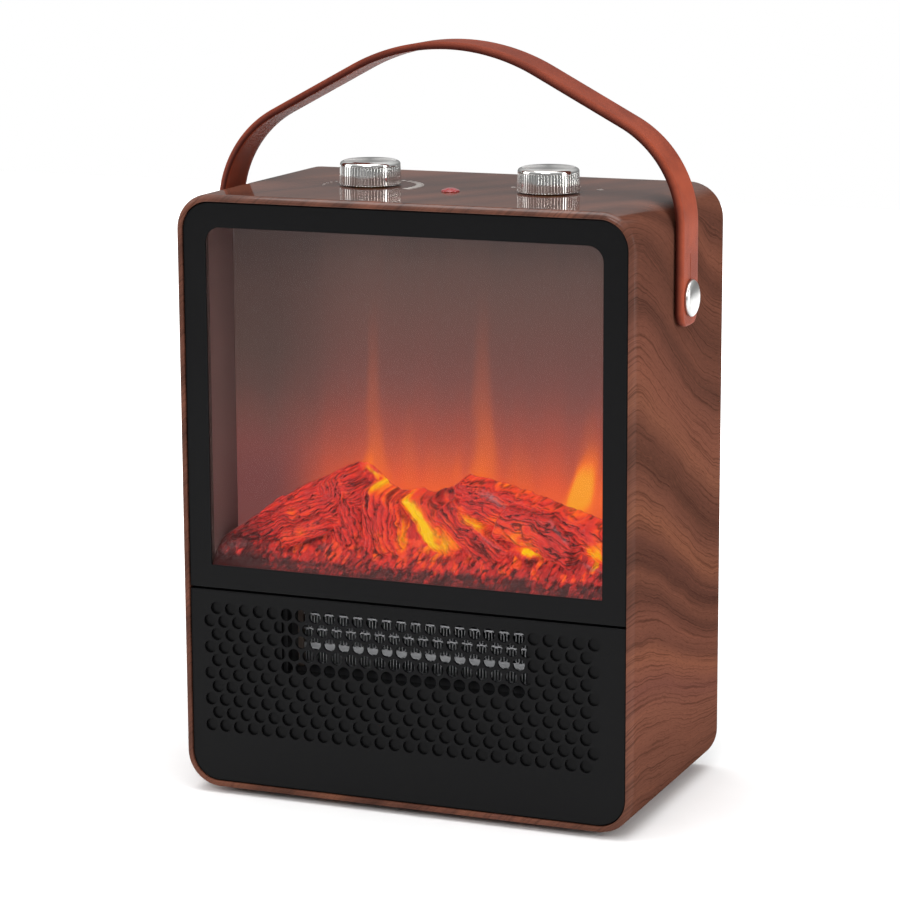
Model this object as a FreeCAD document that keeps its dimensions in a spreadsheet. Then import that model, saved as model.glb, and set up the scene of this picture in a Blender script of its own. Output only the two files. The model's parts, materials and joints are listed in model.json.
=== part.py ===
import FreeCAD, Part
import math
import os
import Sketcher
from FreeCAD import Placement, Rotation, Vector

# Tabletop ceramic heater with a flame-effect window, a carry strap and two turned knobs.
# Frame: +Z up, front face towards -Y, origin on the floor under the middle of the cabinet.

os.makedirs("parts", exist_ok=True)
doc = FreeCAD.newDocument("space_heater")
sheet = doc.addObject("Spreadsheet::Sheet", "sizes")
nodes = []


# ---------------------------------------------------------------- sizes that carry their formula

class Size:
    """A number that remembers the spreadsheet formula it came from."""

    def __init__(self, formula, value):
        self.formula = formula
        self.value = value

    def __add__(self, other):
        return joined(self, "+", other, self.value + number(other))

    def __radd__(self, other):
        return joined(other, "+", self, number(other) + self.value)

    def __sub__(self, other):
        return joined(self, "-", other, self.value - number(other))

    def __rsub__(self, other):
        return joined(other, "-", self, number(other) - self.value)

    def __mul__(self, other):
        return joined(self, "*", other, self.value * number(other))

    def __rmul__(self, other):
        return joined(other, "*", self, number(other) * self.value)

    def __truediv__(self, other):
        return joined(self, "/", other, self.value / number(other))

    def __neg__(self):
        return Size("(0 - " + self.formula + ")", -self.value)


def number(value):
    return value.value if isinstance(value, Size) else float(value)


def formula(value):
    return value.formula if isinstance(value, Size) else repr(float(value))


def joined(left, sign, right, value):
    return Size("(" + formula(left) + " " + sign + " " + formula(right) + ")", value)


def cell(alias, value):
    """One driving dimension: a plain number in the sheet under its own alias."""
    cell.row += 1
    sheet.set("A" + str(cell.row), alias)
    sheet.set("B" + str(cell.row), str(value))
    sheet.setAlias("B" + str(cell.row), alias)
    return Size("sizes." + alias, float(value))


cell.row = 0

# Cabinet
width = cell("width", 240)
depth = cell("depth", 138)
height = cell("height", 303)
wall = cell("wall", 3.4)
corner_radius = cell("corner_radius", 18)
edge_round = cell("edge_round", 3)
foot_height = cell("foot_height", 3)
boss_radius = cell("boss_radius", 4.5)
boss_length = cell("boss_length", 14)
pilot_radius = cell("pilot_radius", 1.3)
fit_gap = cell("fit_gap", 0.3)
boss_skin = cell("boss_skin", 0.5)
pilot_floor = cell("pilot_floor", 2)

# Front panels
panel_recess = cell("panel_recess", 0.8)
panel_thick = cell("panel_thick", 3.5)
frame_thick = cell("frame_thick", 5.2)
panel_round = cell("panel_round", 0.7)
grille_height = cell("grille_height", 99.6)
panel_gap = cell("panel_gap", 1.0)
border_side = cell("border_side", 12.3)
border_top = cell("border_top", 12.4)
border_bottom = cell("border_bottom", 12.0)
window_corner = cell("window_corner", 8)
window_lip = cell("window_lip", 0.6)
pane_thick = cell("pane_thick", 2.7)
pane_overlap = cell("pane_overlap", 4)
pane_ease = cell("pane_ease", 0.05)

# Dimple pattern of the grille
hole_pitch = cell("hole_pitch", 7.76)
row_pitch = cell("row_pitch", 6.8)
hole_radius = cell("hole_radius", 3.175)
dimple_depth = cell("dimple_depth", 1.6)
margin_left = cell("margin_left", 14.6)
margin_right = cell("margin_right", 15.95)
margin_top = cell("margin_top", 9.3)
margin_bottom = cell("margin_bottom", 15.3)
outlet_half = cell("outlet_half", 66.05)
outlet_shift = cell("outlet_shift", -0.35)
outlet_drop = cell("outlet_drop", 4.8)
outlet_height = cell("outlet_height", 35.1)
recess_bite = cell("recess_bite", 0.15)

# Flame chamber
chamber_depth = cell("chamber_depth", 29)
liner_thick = cell("liner_thick", 1.5)
liner_round = cell("liner_round", 10)
screen_thick = cell("screen_thick", 2)
log_height = cell("log_height", 56)
ember_height = cell("ember_height", 14.56)
ridge_flat = cell("ridge_flat", 4.7)
bed_end_wall = cell("bed_end_wall", 8)
bed_front_wall = cell("bed_front_wall", 5)
bed_back_wall = cell("bed_back_wall", 6)
bed_hollow = cell("bed_hollow", 11.2)
spindle_y = cell("spindle_y", -8)
spindle_rise = cell("spindle_rise", 30)
spindle_radius = cell("spindle_radius", 2)
vane_radius = cell("vane_radius", 12)
vane_pitch = cell("vane_pitch", 9)
vane_fill = cell("vane_fill", 0.8)
foil_thick = cell("foil_thick", 0.45)
vane_margin = cell("vane_margin", 16)
bracket_inset = cell("bracket_inset", 4)
bush_radius = cell("bush_radius", 4)
bush_lip = cell("bush_lip", 1.5)
bracket_half = cell("bracket_half", 9)
bracket_foot = cell("bracket_foot", 12)
spindle_motor_radius = cell("spindle_motor_radius", 15)
spindle_motor_length = cell("spindle_motor_length", 13)
spindle_nose = cell("spindle_nose", 4.5)
sheet_thick = cell("sheet_thick", 1.2)
cable_inset = cell("cable_inset", 6)
cable_slot = cell("cable_slot", 20)
board_thick = cell("board_thick", 1.6)
led_pitch = cell("led_pitch", 22)
led_radius = cell("led_radius", 2.5)
led_tip_radius = cell("led_tip_radius", 1.2)
led_body = cell("led_body", 3)
led_cap = cell("led_cap", 2)
led_end = cell("led_end", 6)
ember_board_inset = cell("ember_board_inset", 20)
ember_board_half = cell("ember_board_half", 5)
flame_board_inset = cell("flame_board_inset", 22)
flame_board_gap = cell("flame_board_gap", 12)
flame_board_rise = cell("flame_board_rise", 14)
chip_thick = cell("chip_thick", 1.2)

# Heater core and its duct
core_half = cell("core_half", 61)
core_depth = cell("core_depth", 15)
core_setback = cell("core_setback", 16.5)
core_drop = cell("core_drop", 6.8)
fin_height = cell("fin_height", 7)
fin_pitch = cell("fin_pitch", 1.6)
fin_stock = cell("fin_stock", 0.3)
bar_thick = cell("bar_thick", 3)
cover_thick = cell("cover_thick", 0.8)
divider_thick = cell("divider_thick", 0.6)
duct_half = cell("duct_half", 64)
duct_wall = cell("duct_wall", 1.5)
duct_back = cell("duct_back", -14)
duct_ease = cell("duct_ease", 0.1)
spade_near = cell("spade_near", 4.5)
spade_far = cell("spade_far", 10.5)
spade_half = cell("spade_half", 2)
spade_thick = cell("spade_thick", 0.8)
spade_reach = cell("spade_reach", 9)
cutout_radius = cell("cutout_radius", 7)
cutout_drop = cell("cutout_drop", 10)

# Blower
rotor_radius = cell("rotor_radius", 22)
rotor_half = cell("rotor_half", 60)
scroll_gap = cell("scroll_gap", 3.5)
tongue_gap = cell("tongue_gap", 6)
tongue_depth = cell("tongue_depth", 4)
blade_stock = cell("blade_stock", 0.8)
blade_inset = cell("blade_inset", 0.5)
blade_bow = cell("blade_bow", 5.59)
disc_thick = cell("disc_thick", 1.4)
shaft_radius = cell("shaft_radius", 2.5)
running_gap = cell("running_gap", 0.05)
motor_side = cell("motor_side", 56)
motor_gap = cell("motor_gap", 5)
bearing_reach = cell("bearing_reach", 22)
bearing_end = cell("bearing_end", 5)
bearing_half = cell("bearing_half", 7)
bearing_sheet = cell("bearing_sheet", 2)
leg_drop = cell("leg_drop", 18)
coil_half = cell("coil_half", 16)
coil_end = cell("coil_end", 4)
stack_length = cell("stack_length", 16)
air_gap = cell("air_gap", 0.6)
motor_rotor_radius = cell("motor_rotor_radius", 13.6)

# Controls on the top
thermostat_x = cell("thermostat_x", -43.5)
selector_x = cell("selector_x", 52)
knob_y = cell("knob_y", -3)
lens_x = cell("lens_x", 5)
lens_y = cell("lens_y", -15.5)
lens_radius = cell("lens_radius", 4.75)
lens_step = cell("lens_step", 1)
lens_rim = cell("lens_rim", 0.8)
lens_bulge = cell("lens_bulge", 1.1)
lamp_radius = cell("lamp_radius", 2.3)
knob_radius = cell("knob_radius", 15.6)
knob_height = cell("knob_height", 13)
knob_wall = cell("knob_wall", 2.4)
knob_shoulder = cell("knob_shoulder", 2.7)
knob_step = cell("knob_step", 0.35)
knob_ease = cell("knob_ease", 1.5)
knob_crown = cell("knob_crown", 0.65)
pointer_width = cell("pointer_width", 1)
pointer_length = cell("pointer_length", 5)
pointer_margin = cell("pointer_margin", 3)
pointer_depth = cell("pointer_depth", 0.8)
knob_lift = cell("knob_lift", 0.7)
flute_radius = cell("flute_radius", 0.55)
neck_radius = cell("neck_radius", 5)
stem_radius = cell("stem_radius", 3)
switch_half = cell("switch_half", 16)
switch_drop = cell("switch_drop", 16)
nut_width = cell("nut_width", 14)
nut_thick = cell("nut_thick", 2)

# Carry strap and its studs
strap_width = cell("strap_width", 25)
strap_thick = cell("strap_thick", 3.7)
strap_gap = cell("strap_gap", 0.8)
strap_lift = cell("strap_lift", 9.195)
strap_tail = cell("strap_tail", 13.5)
strap_slope = cell("strap_slope", 28)
crown_radius = cell("crown_radius", 105)
shoulder_radius = cell("shoulder_radius", 58)
stud_drop = cell("stud_drop", 49)
stud_radius = cell("stud_radius", 9.2)
stud_dome = cell("stud_dome", 3)
slit_length = cell("slit_length", 18.5)
slit_width = cell("slit_width", 0.8)
strap_corner = cell("strap_corner", 8)
strap_bevel = cell("strap_bevel", 0.5)
collar_radius = cell("collar_radius", 6)
stud_rim = cell("stud_rim", 1)
stud_bevel = cell("stud_bevel", 0.4)

# Base and back
foot_radius = cell("foot_radius", 8)
foot_head = cell("foot_head", 1.4)
foot_inset_x = cell("foot_inset_x", 26)
foot_inset_y = cell("foot_inset_y", 20)
cover_recess = cell("cover_recess", 4)
cover_plate = cell("cover_plate", 3)
vent_width = cell("vent_width", 5)
vent_pitch = cell("vent_pitch", 9)
vent_length = cell("vent_length", 64)
vent_short = cell("vent_short", 32)
vent_margin = cell("vent_margin", 62)
vent_rise = cell("vent_rise", 14)
vent_drop = cell("vent_drop", 74)
plunger_radius = cell("plunger_radius", 3)
plunger_x = cell("plunger_x", -88)
plunger_y = cell("plunger_y", 24)
plunger_collar = cell("plunger_collar", 1.3)
tip_case_height = cell("tip_case_height", 24)
tip_case_x = cell("tip_case_x", 9)
tip_case_y = cell("tip_case_y", 7)
spring_wire = cell("spring_wire", 0.35)
gland_radius = cell("gland_radius", 6.5)
gland_x = cell("gland_x", 92)
gland_rise = cell("gland_rise", 28)
gland_flange = cell("gland_flange", 2)
cord_radius = cell("cord_radius", 3.5)
block_back = cell("block_back", 43)
block_deep = cell("block_deep", 12)
driver_back = cell("driver_back", 23)
driver_deep = cell("driver_deep", 18)
driver_half = cell("driver_half", 34)
screw_radius = cell("screw_radius", 1.7)
head_radius = cell("head_radius", 3.2)
head_thick = cell("head_thick", 2)

doc.recompute()

# ---------------------------------------------------------------- places worked out from the sizes

half_width = width / 2
half_depth = depth / 2
front = -half_depth
floor_in = foot_height + wall
top = foot_height + height
roof_in = top - wall
side_in = half_width - wall
inner_radius = corner_radius - wall
panel_side = side_in - fit_gap
panel_low = floor_in + fit_gap
panel_high = roof_in - fit_gap
panel_radius = inner_radius - fit_gap
panel_front = front + panel_recess
panel_back = panel_front + panel_thick
frame_back = panel_back + frame_thick
grille_top = panel_low + grille_height
window_panel_low = grille_top + panel_gap
window_side = panel_side - border_side
window_low = window_panel_low + border_bottom
window_high = panel_high - border_top
boss_inset = inner_radius - (inner_radius - boss_radius + boss_skin) * math.sqrt(0.5)
boss_x = side_in - boss_inset
boss_low = floor_in + boss_inset
boss_high = roof_in - boss_inset
stud_height = top - stud_drop
strap_inner = half_width + strap_gap
strap_outer = strap_inner + strap_thick
strap_top = top + strap_lift + half_width * math.tan(math.radians(number(strap_slope)))
outlet_high = grille_top - outlet_drop
outlet_low = outlet_high - outlet_height
first_row = grille_top - margin_top
first_column = margin_left - panel_side


# ---------------------------------------------------------------- building helpers

def bind(thing, prop, value):
    thing.setExpression(prop, formula(value))


def place(thing, at, turn=None):
    if turn:
        thing.Placement = Placement(Vector(0, 0, 0), turn)
    for letter, value in zip("xyz", at):
        bind(thing, "Placement.Base." + letter, value)


def keep(label, thing):
    """Registers a finished sub-part under the name of its file."""
    thing.Label = label
    nodes.append(thing)
    return thing


def body(label, at=(0, 0, 0)):
    made = doc.addObject("PartDesign::Body", label)
    place(made, at)
    return keep(label, made)


def sketch(owner, plane, offset=0):
    """A sketch on one of the body's own planes. Normals: XY +Z, XZ -Y, YZ +X."""
    made = owner.newObject("Sketcher::SketchObject", owner.Name + "_sketch")
    plane_of = {item.Role: item for item in owner.Origin.OriginFeatures}
    made.AttachmentSupport = [(plane_of[plane + "_Plane"], "")]
    made.MapMode = "FlatFace"
    bind(made, "AttachmentOffset.Base.z", offset)
    return made


def pin_point(drawing, edge, end, at):
    """Fixes one end of an edge by its distances from the sketch origin."""
    for kind, value in zip(("DistanceX", "DistanceY"), at):
        rule = Sketcher.Constraint(kind, -1, 1, edge, end, number(value))
        index = drawing.addConstraint(rule)
        drawing.setExpression("Constraints[" + str(index) + "]", formula(value))


def flat(point):
    return Vector(number(point[0]), number(point[1]), 0)


def polygon(drawing, points):
    """A closed outline of straight lines through points given as sizes."""
    first = drawing.GeometryCount
    count = len(points)
    for step in range(count):
        line = Part.LineSegment(flat(points[step]), flat(points[(step + 1) % count]))
        drawing.addGeometry(line, False)
    for step in range(count):
        follow = first + (step + 1) % count
        drawing.addConstraint(Sketcher.Constraint("Coincident", first + step, 2, follow, 1))
        pin_point(drawing, first + step, 1, points[step])


def rounded_box(drawing, low_x, high_x, low_y, high_y, radii):
    """A rectangle with its four corners rounded: low-left, low-right, high-right, high-left."""
    signs = [(1, 1), (-1, 1), (-1, -1), (1, -1)]
    corners = [(low_x, low_y), (high_x, low_y), (high_x, high_y), (low_x, high_y)]
    first = drawing.GeometryCount
    for step in range(4):
        begin, finish = corners[step], corners[(step + 1) % 4]
        run_x = [(1, 0), (0, 1), (-1, 0), (0, -1)][step]
        start = (begin[0] + run_x[0] * radii[step], begin[1] + run_x[1] * radii[step])
        after = radii[(step + 1) % 4]
        stop = (finish[0] - run_x[0] * after, finish[1] - run_x[1] * after)
        drawing.addGeometry(Part.LineSegment(flat(start), flat(stop)), False)
        pin_point(drawing, first + step, 1, start)
        pin_point(drawing, first + step, 2, stop)
    for step in range(4):
        corner, radius, sign = corners[step], radii[step], signs[step]
        centre = (corner[0] + sign[0] * radius, corner[1] + sign[1] * radius)
        circle = Part.Circle(flat(centre), Vector(0, 0, 1), number(radius))
        begin = math.pi * (1 + step / 2)
        arc = drawing.addGeometry(Part.ArcOfCircle(circle, begin, begin + math.pi / 2), False)
        before = first + (step + 3) % 4
        drawing.addConstraint(Sketcher.Constraint("Coincident", arc, 1, before, 2))
        drawing.addConstraint(Sketcher.Constraint("Coincident", arc, 2, first + step, 1))
        index = drawing.addConstraint(Sketcher.Constraint("Radius", arc, number(radius)))
        drawing.setExpression("Constraints[" + str(index) + "]", formula(radius))


def ring(drawing, at, radius):
    """One full circle."""
    circle = Part.Circle(flat(at), Vector(0, 0, 1), number(radius))
    edge = drawing.addGeometry(circle, False)
    pin_point(drawing, edge, 3, at)
    index = drawing.addConstraint(Sketcher.Constraint("Radius", edge, number(radius)))
    drawing.setExpression("Constraints[" + str(index) + "]", formula(radius))


def extrude(kind, owner, drawing, length, side="One side", reverse=False):
    made = owner.newObject("PartDesign::" + kind, owner.Name + "_" + kind.lower())
    made.Profile = drawing
    bind(made, "Length", length)
    made.SideType = side
    made.Reversed = reverse
    drawing.Visibility = False
    return made


def pad(owner, drawing, length, side="One side", reverse=False):
    return extrude("Pad", owner, drawing, length, side, reverse)


def pocket(owner, drawing, length, side="One side", reverse=False):
    return extrude("Pocket", owner, drawing, length, side, reverse)


def box(name, across, along, up):
    """A Part box between pairs of coordinates."""
    made = doc.addObject("Part::Box", name)
    for prop, span in zip(("Length", "Width", "Height"), (across, along, up)):
        bind(made, prop, span[1] - span[0])
    place(made, (across[0], along[0], up[0]))
    return made


AXIS_TURN = {
    "X": Rotation(Vector(0, 1, 0), 90),
    "Y": Rotation(Vector(1, 0, 0), -90),
    "Z": Rotation(),
}


def along_axis(axis, centre, start):
    """Puts a distance along an axis together with the two other coordinates."""
    if axis == "X":
        return (start, centre[0], centre[1])
    if axis == "Y":
        return (centre[0], start, centre[1])
    return (centre[0], centre[1], start)


def rod(name, axis, centre, span, radius):
    """A Part cylinder along one axis, between two coordinates on it."""
    made = doc.addObject("Part::Cylinder", name)
    bind(made, "Radius", radius)
    bind(made, "Height", span[1] - span[0])
    place(made, along_axis(axis, centre, span[0]), AXIS_TURN[axis])
    return made


def cone(name, axis, centre, span, radii):
    made = doc.addObject("Part::Cone", name)
    bind(made, "Radius1", radii[0])
    bind(made, "Radius2", radii[1])
    bind(made, "Height", span[1] - span[0])
    place(made, along_axis(axis, centre, span[0]), AXIS_TURN[axis])
    return made


def hexagon(name, centre, span, across_flats):
    made = doc.addObject("Part::Prism", name)
    made.Polygon = 6
    bind(made, "Circumradius", across_flats / math.sqrt(3))
    bind(made, "Height", span[1] - span[0])
    place(made, along_axis("Z", centre, span[0]))
    return made


def fuse(name, parts):
    made = doc.addObject("Part::MultiFuse", name)
    made.Shapes = parts
    return made


def cut(name, base, tools):
    """Takes one or several tools away from a base."""
    made = doc.addObject("Part::Cut", name)
    made.Base = base
    made.Tool = tools[0] if len(tools) == 1 else fuse(name + "_tools", tools)
    return made


def group(name, parts):
    """Identical separate solids that share one node."""
    made = doc.addObject("Part::Compound", name)
    made.Links = parts
    return made


def solid(name, shape):
    """A shape made directly with Part's own functions."""
    made = doc.addObject("Part::Feature", name)
    made.Shape = shape
    made.Placement = Placement()
    return made


def edges_where(shape, test):
    return ["Edge" + str(index + 1) for index, edge in enumerate(shape.Edges) if test(edge)]


def round_edges(owner, radius, test, kind="Fillet"):
    """A PartDesign fillet or chamfer on the edges of the tip that pass a test."""
    doc.recompute()
    base = owner.Tip
    made = owner.newObject("PartDesign::" + kind, owner.Name + "_" + kind.lower())
    made.Base = (base, edges_where(base.Shape, test))
    bind(made, "Radius" if kind == "Fillet" else "Size", radius)
    return made


def lies_at(edge, axis, value, tolerance=0.01):
    """True when the whole edge lies in the plane axis = value of its own frame."""
    low = getattr(edge.BoundBox, axis + "Min")
    high = getattr(edge.BoundBox, axis + "Max")
    return abs(low - number(value)) < tolerance and abs(high - number(value)) < tolerance


def four_corners(make, xs, ys):
    """Calls make(index, x, y) at the four corners of a rectangle."""
    places = [(xs[0], ys[0]), (xs[1], ys[0]), (xs[0], ys[1]), (xs[1], ys[1])]
    return [make(index, x, y) for index, (x, y) in enumerate(places)]


BOSS_PLACES = ((-boss_x, boss_x), (boss_low, boss_high))


# ---------------------------------------------------------------- cabinet

def outer_sleeve():
    """Rounded tube, open at front and back, with screw bosses in its corners."""
    shell = body("outer_sleeve")
    outline = sketch(shell, "XZ")
    rounded_box(outline, -half_width, half_width, foot_height, top, [corner_radius] * 4)
    pad(shell, outline, depth, side="Symmetric")
    hollow = sketch(shell, "XZ")
    rounded_box(hollow, -side_in, side_in, floor_in, roof_in, [inner_radius] * 4)
    pocket(shell, hollow, depth + 2 * wall, side="Symmetric")

    def outer_rim(edge):
        box_of = edge.BoundBox
        flat_rim = lies_at(edge, "Y", front) or lies_at(edge, "Y", half_depth)
        far = max(abs(box_of.XMin), abs(box_of.XMax)) > number(side_in) + 0.1
        high = box_of.ZMax > number(roof_in) + 0.1 or box_of.ZMin < number(floor_in) - 0.1
        return flat_rim and (far or high)

    round_edges(shell, edge_round, outer_rim)
    for start, reverse in ((-frame_back, True), (-(half_depth - cover_recess - cover_plate), False)):
        posts = sketch(shell, "XZ", start)
        four_corners(lambda index, x, z: ring(posts, (x, z), boss_radius), *BOSS_PLACES)
        pad(shell, posts, boss_length, reverse=reverse)
        pilots = sketch(shell, "XZ", start)
        four_corners(lambda index, x, z: ring(pilots, (x, z), pilot_radius), *BOSS_PLACES)
        pocket(shell, pilots, boss_length - pilot_floor, reverse=not reverse)
    top_holes = sketch(shell, "XY", roof_in + wall / 2)
    ring(top_holes, (thermostat_x, knob_y), neck_radius + fit_gap)
    ring(top_holes, (selector_x, knob_y), neck_radius + fit_gap)
    ring(top_holes, (lens_x, lens_y), lens_radius - lens_step + fit_gap)
    pocket(shell, top_holes, 2 * wall, side="Symmetric")
    base_holes = sketch(shell, "XY", foot_height + wall / 2)
    ring(base_holes, (plunger_x, plunger_y), plunger_radius + running_gap)
    foot_x, foot_y = half_width - foot_inset_x, half_depth - foot_inset_y
    four_corners(lambda index, x, y: ring(base_holes, (x, y), screw_radius),
                 (-foot_x, foot_x), (-foot_y, foot_y))
    pocket(shell, base_holes, 2 * wall, side="Symmetric")
    for centre in (half_width - wall / 2, wall / 2 - half_width):
        stud_hole = sketch(shell, "YZ", centre)
        ring(stud_hole, (0, stud_height), screw_radius + fit_gap)
        pocket(shell, stud_hole, 2 * wall, side="Symmetric")


def front_frame():
    """Moulded frame behind the front panels, with a crossbar between window and outlet."""
    frame = body("front_frame", (0, frame_back, 0))
    outline = sketch(frame, "XZ")
    rounded_box(outline, -panel_side, panel_side, panel_low, panel_high, [panel_radius] * 4)
    pad(frame, outline, frame_thick)
    openings = sketch(frame, "XZ")
    mouth = window_side + pane_overlap
    small = panel_round
    rounded_box(openings, -mouth, mouth, window_low - pane_overlap, window_high + pane_overlap,
                [small, small, window_corner, window_corner])
    rounded_box(openings, -duct_half, duct_half, outlet_low, outlet_high, [small] * 4)
    pocket(frame, openings, 2 * frame_thick, side="Symmetric")
    seats = sketch(frame, "XZ", frame_thick)
    four_corners(lambda index, x, z: ring(seats, (x, z), head_radius + fit_gap), *BOSS_PLACES)
    pocket(frame, seats, head_thick + fit_gap)
    passages = sketch(frame, "XZ")
    four_corners(lambda index, x, z: ring(passages, (x, z), screw_radius + fit_gap / 2), *BOSS_PLACES)
    pocket(frame, passages, 2 * frame_thick, side="Symmetric")


def screw(name, axis, centre, head_at, towards, shank_length, shank=None, thick=None):
    """A pan-head screw: head_at is the flat face of its head, towards the way it points."""
    far = head_at + towards * (thick or head_thick)
    tip = far + towards * shank_length
    spans = ((head_at, far), (far, tip)) if towards > 0 else ((far, head_at), (tip, far))
    cap = rod(name + "_head", axis, centre, spans[0], head_radius)
    shank_rod = rod(name + "_shank", axis, centre, spans[1], shank or pilot_radius)
    return fuse(name, [cap, shank_rod])


def corner_screws(label, head_at, towards, shank_length):
    made = four_corners(
        lambda index, x, z: screw(label + "_one" + str(index), "Y", (x, z), head_at, towards, shank_length),
        *BOSS_PLACES)
    keep(label, group(label + "_set", made))


def window_frame():
    """Black front frame round the window, with a rebate behind for the pane."""
    frame = body("window_frame", (0, panel_back, 0))
    outline = sketch(frame, "XZ")
    rounded_box(outline, -panel_side, panel_side, window_panel_low, panel_high,
                [panel_round, panel_round, panel_radius, panel_radius])
    pad(frame, outline, panel_thick)
    opening = sketch(frame, "XZ")
    rounded_box(opening, -window_side, window_side, window_low, window_high,
                [window_lip, window_lip, window_corner, window_corner])
    pocket(frame, opening, 3 * panel_thick, side="Symmetric")
    rebate = sketch(frame, "XZ")
    reach = pane_overlap + fit_gap
    rounded_box(rebate, -window_side - reach, window_side + reach, window_low - reach,
                window_high + reach, [window_lip, window_lip, window_corner, window_corner])
    pocket(frame, rebate, panel_thick - window_lip, reverse=True)
    round_edges(frame, panel_round, lambda edge: front_rim(edge, window_panel_low, panel_high))


def front_rim(edge, low, high):
    """Edges of a front panel's outer outline, on its front face."""
    if not lies_at(edge, "Y", -panel_thick) and not lies_at(edge, "Y", panel_front):
        return False
    box_of = edge.BoundBox
    far = max(abs(box_of.XMin), abs(box_of.XMax)) > number(window_side) + 5
    ends = box_of.ZMin < number(low) + 0.5 or box_of.ZMax > number(high) - 0.5
    return far or ends


def window_pane():
    """Clear pane, seated in the rebate behind the frame."""
    pane = body("window_pane", (0, panel_front + window_lip + pane_thick + pane_ease, 0))
    outline = sketch(pane, "XZ")
    side = window_side + pane_overlap
    rounded_box(outline, -side, side, window_low - pane_overlap, window_high + pane_overlap,
                [window_lip, window_lip, window_corner, window_corner])
    pad(pane, outline, pane_thick)


def grille_panel():
    """Lower front panel: blind dimples all over, open where the rear pocket meets them."""
    panel = body("grille_panel", (0, panel_back, 0))
    outline = sketch(panel, "XZ")
    rounded_box(outline, -panel_side, panel_side, panel_low, grille_top,
                [panel_radius, panel_radius, panel_round, panel_round])
    pad(panel, outline, panel_thick)
    round_edges(panel, panel_round, lambda edge: front_rim(edge, panel_low, grille_top))
    recess = sketch(panel, "XZ")
    small = panel_round
    rounded_box(recess, outlet_shift - outlet_half, outlet_shift + outlet_half,
                outlet_low, outlet_high, [small] * 4)
    pocket(panel, recess, panel_thick - dimple_depth + recess_bite, reverse=True)
    pitch, lines = number(hole_pitch), number(row_pitch)
    run = 2 * number(panel_side) - number(margin_left) - number(margin_right)
    drop = number(grille_height) - number(margin_top) - number(margin_bottom)
    columns = math.floor(run / pitch) + 1
    rows = math.floor(drop / lines) + 1
    for shift, first, count in ((0, 0, (rows + 1) // 2), (-hole_pitch / 2, 1, rows // 2)):
        dimple = sketch(panel, "XZ", panel_thick)
        ring(dimple, (first_column + shift, first_row - first * row_pitch), hole_radius)
        hole = pocket(panel, dimple, dimple_depth)
        pattern = panel.newObject("PartDesign::LinearPattern", "grille_rows" + str(first))
        pattern.Originals = [hole]
        pattern.Direction = (dimple, ["H_Axis"])
        pattern.Mode = "Spacing"
        bind(pattern, "Offset", hole_pitch)
        pattern.Occurrences = columns
        pattern.Direction2 = (dimple, ["V_Axis"])
        pattern.Reversed2 = True
        pattern.Mode2 = "Spacing"
        bind(pattern, "Offset2", 2 * row_pitch)
        pattern.Occurrences2 = count
        panel.Tip = pattern


def rear_cover():
    """Back plate with a field of intake slots, screw seats and a hole for the cord gland."""
    back_face = half_depth - cover_recess
    cover = body("rear_cover", (0, back_face, 0))
    outline = sketch(cover, "XZ")
    rounded_box(outline, -panel_side, panel_side, panel_low, panel_high, [panel_radius] * 4)
    pad(cover, outline, cover_plate)
    round_edges(cover, panel_round, lambda edge: lies_at(edge, "Y", 0) or lies_at(edge, "Y", back_face))
    passages = sketch(cover, "XZ")
    four_corners(lambda index, x, z: ring(passages, (x, z), screw_radius), *BOSS_PLACES)
    ring(passages, (gland_x, floor_in + gland_rise), gland_radius + running_gap)
    pocket(cover, passages, 3 * cover_plate, side="Symmetric")
    count = math.floor(2 * number(panel_side - vent_margin) / number(vent_pitch)) + 1
    rows = ((floor_in + vent_rise, vent_length, "low"), (top - vent_drop, vent_short, "high"))
    for bottom, tall, name in rows:
        slot = sketch(cover, "XZ")
        left = -vent_pitch * (count - 1) / 2
        rounded_box(slot, left - vent_width / 2, left + vent_width / 2, bottom, bottom + tall,
                    [vent_width / 2 - 0.2] * 4)
        vent = pocket(cover, slot, 3 * cover_plate, side="Symmetric")
        row = cover.newObject("PartDesign::LinearPattern", "vents_" + name)
        row.Originals = [vent]
        row.Direction = (slot, ["H_Axis"])
        row.Mode = "Spacing"
        bind(row, "Offset", vent_pitch)
        row.Occurrences = count
        cover.Tip = row


# ---------------------------------------------------------------- flame chamber

liner_side = window_side + pane_overlap - liner_thick
liner_low = window_low - pane_overlap
liner_high = window_high + pane_overlap
chamber_back = frame_back + chamber_depth
screen_front = chamber_back - screen_thick
deck_top = window_panel_low
log_floor = liner_low + liner_thick


def flame_chamber():
    """Dark liner between the pane and the flame screen: side walls, floor and ceiling."""
    liner = body("flame_chamber", (0, chamber_back, 0))
    outline = sketch(liner, "XZ")
    side, low, high = liner_side + liner_thick, liner_low, liner_high
    rounded_box(outline, -side, side, low, high, [liner_thick, liner_thick, liner_round, liner_round])
    pad(liner, outline, chamber_depth)
    hollow = sketch(liner, "XZ")
    inside = liner_round - liner_thick
    rounded_box(hollow, -liner_side, liner_side, low + liner_thick, high - liner_thick,
                [liner_thick / 5, liner_thick / 5, inside, inside])
    pocket(liner, hollow, 3 * chamber_depth, side="Symmetric")


def flame_screen():
    """Translucent back wall of the chamber."""
    screen = body("flame_screen", (0, chamber_back, 0))
    outline = sketch(screen, "XZ")
    gap = fit_gap / 2
    inside = liner_round - liner_thick
    rounded_box(outline, gap - liner_side, liner_side - gap, log_floor, liner_high - liner_thick - gap,
                [gap, gap, inside, inside])
    pad(screen, outline, screen_thick)


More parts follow.
